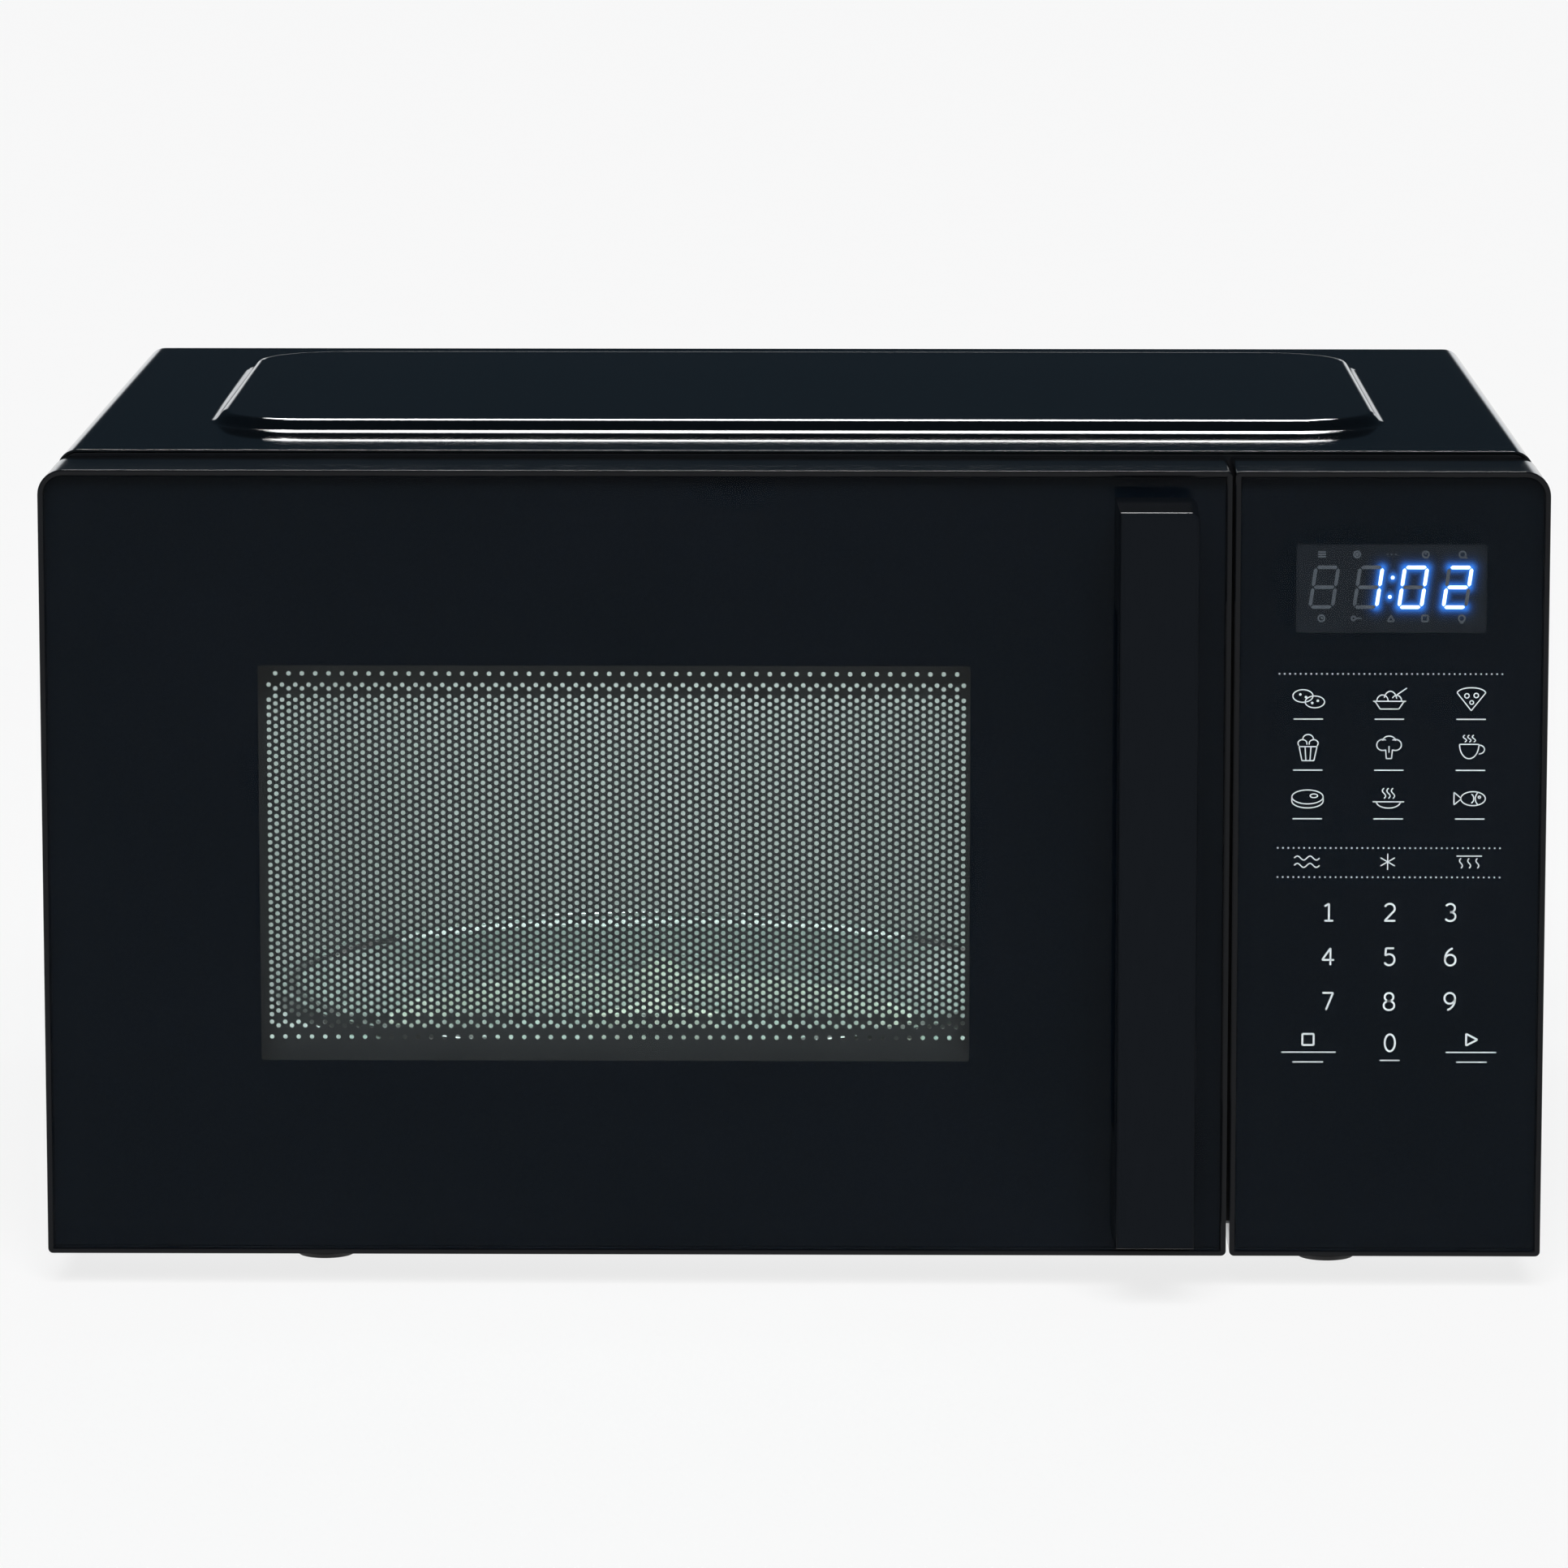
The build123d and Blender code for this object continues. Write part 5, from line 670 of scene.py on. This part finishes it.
digits = {
    "0": [arc(0, 0, 1.55, 2.6)],
    "1": [[(-1.2, 1.8), (0.1, 2.6)], [(0.1, 2.6), (0.1, -2.6)], [(-1.2, -2.6), (1.4, -2.6)]],
    "2": [
        np.concatenate([arc(-0.1, 1.15, 1.5, 1.45, 160, -35), [(-1.5, -2.5)]]),
        [(-1.7, -2.6), (1.6, -2.6)],
    ],
    "3": [arc(-0.2, 1.3, 1.4, 1.3, 150, -90), arc(-0.2, -1.25, 1.6, 1.4, 90, -150)],
    "4": [[(0.7, -2.6), (0.7, 2.6)], [(0.7, 2.6), (-1.8, -1.0)], [(-1.8, -1.0), (1.8, -1.0)]],
    "5": [[(1.3, 2.6), (-1.1, 2.6)], [(-1.1, 2.6), (-1.25, 0.3)], arc(-0.1, -0.9, 1.6, 1.7, 135, -150)],
    "6": [arc(0, -1.0, 1.6, 1.65), arc(1.5, -0.8, 3.1, 3.5, 180, 105)],
    "7": [[(-1.6, 2.6), (1.6, 2.6)], [(1.6, 2.6), (-0.5, -2.6)]],
    "8": [arc(0, 1.35, 1.3, 1.25), arc(0, -1.25, 1.6, 1.4)],
    "9": [arc(0, 1.0, 1.6, 1.65), arc(-1.5, 0.8, 3.1, 3.5, 0, -75)],
}
named = ("tubers", "bowl", "slice", "popcorn", "greens", "cup", "joint", "warm", "fish")
spots = [
    (pictures[picture], icon_columns[n % 3], icon_rows[n // 3], icon_size, line_mm)
    for n, picture in enumerate(named)
]
functions = ("waves", "flake", "grate")
spots += [
    (pictures[picture], x, function_row, icon_size, line_mm)
    for picture, x in zip(functions, icon_columns)
]
spots += [(pictures["square"], *square_spot, 1.0, bold_mm)]
spots += [(pictures["triangle"], *triangle_spot, 1.0, bold_mm)]
spots += [(digits[str(n + 1)], key_columns[n % 3], key_rows[n // 3], 1.0, bold_mm) for n in range(9)]
spots += [(digits["0"], *zero_spot, 1.0, bold_mm)]
ribbons = [
    stroke(np.asarray(path) * size + (x, z), width)
    for paths, x, z, size, width in spots
    for path in paths
]
bars = [(x, z, picture_bar_half_mm) for z in bar_rows for x in icon_columns] + key_bars
ribbons += [stroke([(x - half, z), (x + half, z)], bar_mm) for x, z, half in bars]
dot_turn = np.radians(np.arange(dot_sides) * 360 / dot_sides)
dot_ring = np.stack([np.cos(dot_turn), np.sin(dot_turn)], axis=-1)
dot_columns = np.linspace(dot_left, dot_right, dots_per_row)
dots = np.stack(np.meshgrid(dot_columns, dot_rows), axis=-1).reshape(-1, 1, 2) + dot_mm * dot_ring
flat, faces = gather(ribbons + [many_sided(dots)])
points = stand(flat, print_front - legend_gap_mm)
pale_ink, tree, shader, place = start_finish("pale_grey_ink", dull_sockets)
grain = {"Scale": 1000 / legend_grain_mm, "Detail": 2.0}
speckle = add(tree, "ShaderNodeTexNoise", grain, {"Vector": place})
work_in(tree, shader, speckle.outputs[0], ("#b8bcc0", "#d6d9dc"))
make_piece("panel_legend", points, faces, pale_ink, "cabinet")

# Display: a module behind the glass with a smoked filter plate. On it lie four slanted digits of seven bars,
# lit blue white with a blue glow around them. Bars and small marks that are off stay faintly grey.
bar_slant = math.tan(math.radians(8))
bar_half_mm = 0.54
bar_gap_mm = 0.25
digit_wide_mm = 6.7
digit_low, digit_high = 208.3, 220.3
digit_lefts = (155.5, 168.7, 182.1, 195.4)
lit_bars = ("", "bc", "abcdef", "abged")
colon_mm = 0.58
colon_spots = ((179.3, 217.2), (178.5, 211.4))
small_line_mm = 0.5
small_columns = (158.1, 168.6, 178.9, 189.1, 200.1)
small_rows = (224.2, 204.9)
plate_gap_mm = 0.03
plate_margin_mm = 0.05
plate_columns, plate_rows = 115, 54
lit_lift_mm = 0.05
unlit_lift_mm = 0.04
near_glow_mm, near_glow = 1.3, 0.8
far_glow_mm, far_glow = 2.6, 0.10
glow_points = 7
haze_mm = 8.0
shimmer_mm = 2.0
lit_strength = 1.3


def digit_bars(left):
    """The seven bars of a digit as pointed six-sided strips, sheared so that the digit leans right."""
    middle = (digit_low + digit_high) / 2
    right = left + digit_wide_mm
    ends = {
        "a": ((left, digit_high), (right, digit_high)), "g": ((left, middle), (right, middle)),
        "d": ((left, digit_low), (right, digit_low)), "f": ((left, middle), (left, digit_high)),
        "b": ((right, middle), (right, digit_high)), "e": ((left, digit_low), (left, middle)),
        "c": ((right, digit_low), (right, middle)),
    }
    names = list(ends)
    start = np.array([ends[name][0] for name in names])
    end = np.array([ends[name][1] for name in names])
    heading = (end - start) / np.linalg.norm(end - start, axis=1, keepdims=True)
    side = np.stack([-heading[:, 1], heading[:, 0]], axis=-1) * bar_half_mm
    tip, shoulder = bar_gap_mm * heading, (bar_gap_mm + bar_half_mm) * heading
    corners = [start + tip, start + shoulder - side, end - shoulder - side, end - tip]
    corners += [end - shoulder + side, start + shoulder + side]
    corners = np.stack(corners, axis=1)
    corners[:, :, 0] += (corners[:, :, 1] - middle) * bar_slant
    return dict(zip(names, corners))


bars = [
    (name in lit, strip)
    for left, lit in zip(digit_lefts, lit_bars)
    for name, strip in digit_bars(left).items()
]
colon = np.array(colon_spots)[:, None, :] + colon_mm * dot_ring
lit = np.array([strip for on, strip in bars if on])
unlit = np.array([strip for on, strip in bars if not on])
small_spots = np.stack(np.meshgrid(small_columns, small_rows), axis=-1).reshape(-1, 2)
ring = arc(0, 0, 0.95, 0.95)
small_paths = (
    ([(-1.2, 0.7), (1.2, 0.7)], [(-1.2, 0), (1.2, 0)], [(-1.2, -0.7), (1.2, -0.7)]),
    (ring, arc(0, 0, 0.3, 0.3)),
    ([(-1.5, 0), (-1.0, 0)], [(-0.25, 0), (0.25, 0)], [(1.0, 0), (1.5, 0)]),
    (ring, [(0, 0), (0, 0.6)]),
    (ring, [(0.7, -0.7), (1.4, -1.2)]),
    (ring, [(0, 0), (0.5, 0)], [(0, 0), (0, 0.5)]),
    (arc(-0.9, 0, 0.6, 0.6), [(-0.3, 0), (1.5, 0)]),
    ([(-1.0, -0.9), (0, 0.9)], [(0, 0.9), (1.0, -0.9)], [(1.0, -0.9), (-1.0, -0.9)]),
    ([(-0.9, 0.9), (-0.9, -0.9)], [(-0.9, -0.9), (0.9, -0.9)],
     [(0.9, -0.9), (0.9, 0.9)], [(0.9, 0.9), (-0.9, 0.9)]),
    (ring, [(-0.5, -1.3), (0.5, -1.3)]),
)
small_marks = [
    stroke(np.asarray(path) + spot, small_line_mm)
    for spot, paths in zip(small_spots, small_paths)
    for path in paths
]
plate_low, plate_high = display_low + plate_margin_mm, display_high - plate_margin_mm
plate_x = np.linspace(plate_low[0], plate_high[0], plate_columns)
plate_z = np.linspace(plate_low[2], plate_high[2], plate_rows)
plate = np.stack(np.meshgrid(plate_x, plate_z, indexing="ij"), axis=-1).reshape(-1, 2)
strip_ends = np.stack([lit[:, 0], lit[:, 3]], axis=1)
share = np.linspace(0, 1, glow_points)[None, :, None]
sources = strip_ends[:, :1] + (strip_ends[:, 1:] - strip_ends[:, :1]) * share
sources = np.concatenate([sources.reshape(-1, 2), colon.mean(axis=1)])
nearest = np.linalg.norm(plate[:, None, :] - sources[None, :, :], axis=-1).min(axis=1)
glow = near_glow * np.exp(-(nearest / near_glow_mm) ** 2) + far_glow * np.exp(-(nearest / far_glow_mm) ** 2)
level = print_front + plate_gap_mm
filter_sockets = {"IOR": 1.3, "Specular IOR Level": 0.1}
filter_plate, tree, shader, place = start_finish("smoked_display_filter", filter_sockets)
haze = add(tree, "ShaderNodeTexNoise", {"Scale": 1000 / haze_mm, "Detail": 2.0}, {"Vector": place})
work_in(tree, shader, haze.outputs[0], ("#111419", "#171b20"), (0.5, 0.7))
halo = add(tree, "ShaderNodeAttribute", {"attribute_name": "glow"})
shader.inputs["Emission Color"].default_value = linear("#2f86ff")
tree.links.new(halo.outputs["Fac"], shader.inputs["Emission Strength"])
faces = wrap(len(plate_x), len(plate_z), close_rows=False, close_columns=False)
points = stand(plate, level)
display = make_piece("display_filter", points, faces, filter_plate, "cabinet")
display.data.attributes.new("glow", "FLOAT", "POINT").data.foreach_set("value", glow.astype(np.float32))
lit_sockets = {"Base Color": linear("#bcd8ff"), "Roughness": 0.6}
lit_blue, tree, shader, place = start_finish("lit_blue_bar", lit_sockets)
shimmer = add(tree, "ShaderNodeTexNoise", {"Scale": 1000 / shimmer_mm, "Detail": 0.0}, {"Vector": place})
ends = {"data_type": "RGBA", 6: linear("#8cc0ff"), 7: linear("#d8ebff")}
cast = add(tree, "ShaderNodeMix", ends, {0: shimmer.outputs[0]})
tree.links.new(cast.outputs[2], shader.inputs["Emission Color"])
shader.inputs["Emission Strength"].default_value = lit_strength
flat, faces = gather([many_sided(lit), many_sided(colon)])
points = stand(flat, level - lit_lift_mm)
make_piece("display_lit_bars", points, faces, lit_blue, "cabinet")
grey_bar, tree, shader, place = start_finish("unlit_grey_bar", {"IOR": 1.2, "Roughness": 0.7})
dull = add(tree, "ShaderNodeTexNoise", {"Scale": 1000 / shimmer_mm, "Detail": 0.0}, {"Vector": place})
work_in(tree, shader, dull.outputs[0], ("#3a3e44", "#454a50"))
flat, faces = gather([many_sided(unlit)] + small_marks)
points = stand(flat, level - unlit_lift_mm)
make_piece("display_unlit_bars", points, faces, grey_bar, "cabinet")
dress(filter_plate, "display_module")

# Outer cover: one folded steel sheet with a raised panel pressed into its top, coated in black powder paint.
# The paint is a smooth gloss with an orange peel about 1.6 mm wide, and its edges shade as if rounded.
powder_mm = 1.6
film_depth_mm = 0.001
fold_edge_mm = 0.8
powder, tree, shader, place = start_finish("black_powder_coat", {"IOR": 1.38})
film = add(tree, "ShaderNodeTexNoise", {"Scale": 1000 / powder_mm, "Detail": 2.0}, {"Vector": place})
work_in(tree, shader, film.outputs[0], ("#05080b", "#0a0e12"), (0.045, 0.07), film_depth_mm, fold_edge_mm)
dress(powder, "outer_cover")

# Studio: a pale seamless floor, soft light from above and in front, the oven lamp, and a bright card high
# behind that shows only as reflections in edges. The surround is white at the horizon and dim above. A lamp
# has its name, strength, size in metres unless it is a sun, place in metres and tilt in degrees.
floor_half_m = 14.0
fibre_mm = 40.0
horizon_low, horizon_high = 0.03, 0.075
sun_spread_deg = 40
lamps = (
    ("overhead", 3.3, None, (0, 0, 3), 45),
    ("card", 204, (1.25, 1.15), (0, 1.59, 2.05), -41.5),
    ("oven_lamp", 1.15, (0.24, 0.12), (-0.047, 0.03, 0.218), 0),
)
paper_white = 0.8
corners = np.array([(-1, -1, 0), (1, -1, 0), (1, 1, 0), (-1, 1, 0)]) * floor_half_m
floor_mesh = bpy.data.meshes.new("studio_floor")
floor_mesh.from_pydata(corners.tolist(), [], [(0, 1, 2, 3)])
floor = bpy.data.objects.new("studio_floor", floor_mesh)
bpy.context.scene.collection.objects.link(floor)
paper, tree, shader, place = start_finish("pale_studio_paper", {"IOR": 1.3, "Specular IOR Level": 0.1})
fibre = add(tree, "ShaderNodeTexNoise", {"Scale": 1000 / fibre_mm, "Detail": 3.0}, {"Vector": place})
work_in(tree, shader, fibre.outputs[0], ("#f2f2f2", "#f6f6f6"), (0.8, 0.9))
rays = add(tree, "ShaderNodeLightPath")
seen = rays.outputs["Is Camera Ray"]
for ray in ("Is Glossy Ray", "Is Transmission Ray"):
    seen = add(tree, "ShaderNodeMath", {"operation": "ADD"}, {0: seen, 1: rays.outputs[ray]}).outputs[0]
share = add(tree, "ShaderNodeMapRange", {"To Max": paper_white}, {"Value": seen})
white = add(tree, "ShaderNodeEmission", {"Color": linear("#ffffff"), "Strength": 1.0})
parts = {0: share.outputs[0], 1: shader.outputs[0], 2: white.outputs[0]}
both = add(tree, "ShaderNodeMixShader", links=parts)
ends = [node for node in tree.nodes if node.type == "OUTPUT_MATERIAL"]
tree.links.new(both.outputs[0], ends[0].inputs["Surface"])
floor_mesh.materials.append(paper)
world = bpy.data.worlds.new("studio")
bpy.context.scene.world = world
world.use_nodes = True
world.node_tree.nodes.clear()
heading = add(world.node_tree, "ShaderNodeTexCoord").outputs["Generated"]
height = add(world.node_tree, "ShaderNodeSeparateXYZ", links={"Vector": heading}).outputs["Z"]
band = {"From Min": horizon_low, "From Max": horizon_high, "interpolation_type": "SMOOTHSTEP"}
above = add(world.node_tree, "ShaderNodeMapRange", band, {"Value": height}).outputs[0]
ends = {"data_type": "RGBA", 6: linear("#f4f7fa"), 7: linear("#1c262e")}
wall = add(world.node_tree, "ShaderNodeMix", ends, {0: above}).outputs[2]
sky = add(world.node_tree, "ShaderNodeBackground", {"Strength": 1.0}, {"Color": wall})
add(world.node_tree, "ShaderNodeOutputWorld", links={"Surface": sky.outputs[0]})
for name, energy, size, place_m, tilt_deg in lamps:
    lamp_data = bpy.data.lights.new(name, "AREA" if size else "SUN")
    lamp_data.energy = energy
    if size:
        lamp_data.shape = "RECTANGLE"
        lamp_data.size, lamp_data.size_y = size
    else:
        lamp_data.angle = math.radians(sun_spread_deg)
    lamp = bpy.data.objects.new(name, lamp_data)
    lamp.location = place_m
    lamp.rotation_euler = (math.radians(tilt_deg), 0, 0)
    lamp.visible_camera = False
    lamp.visible_diffuse = name != "card"
    lamp.visible_glossy = name != "overhead"
    bpy.context.scene.collection.objects.link(lamp)
bpy.context.scene.view_settings.view_transform = "Standard"

# Camera: about 2.5 m away with a long lens, a little above the oven and square to its front, as in the
# photograph. It looks down, and a little to the left.
lens_mm = 182.85
sensor_mm = 36.0
far_m = 100.0
camera_place_m = (0.024, -2.521, 0.5265)
camera_down_deg = 8.94
camera_left_deg = 0.65
camera_data = bpy.data.cameras.new("camera")
camera_data.lens = lens_mm
camera_data.sensor_width = sensor_mm
camera_data.clip_end = far_m
camera = bpy.data.objects.new("camera", camera_data)
camera.location = camera_place_m
camera.rotation_euler = (math.radians(90 - camera_down_deg), 0, math.radians(camera_left_deg))
bpy.context.scene.collection.objects.link(camera)
bpy.context.scene.camera = camera
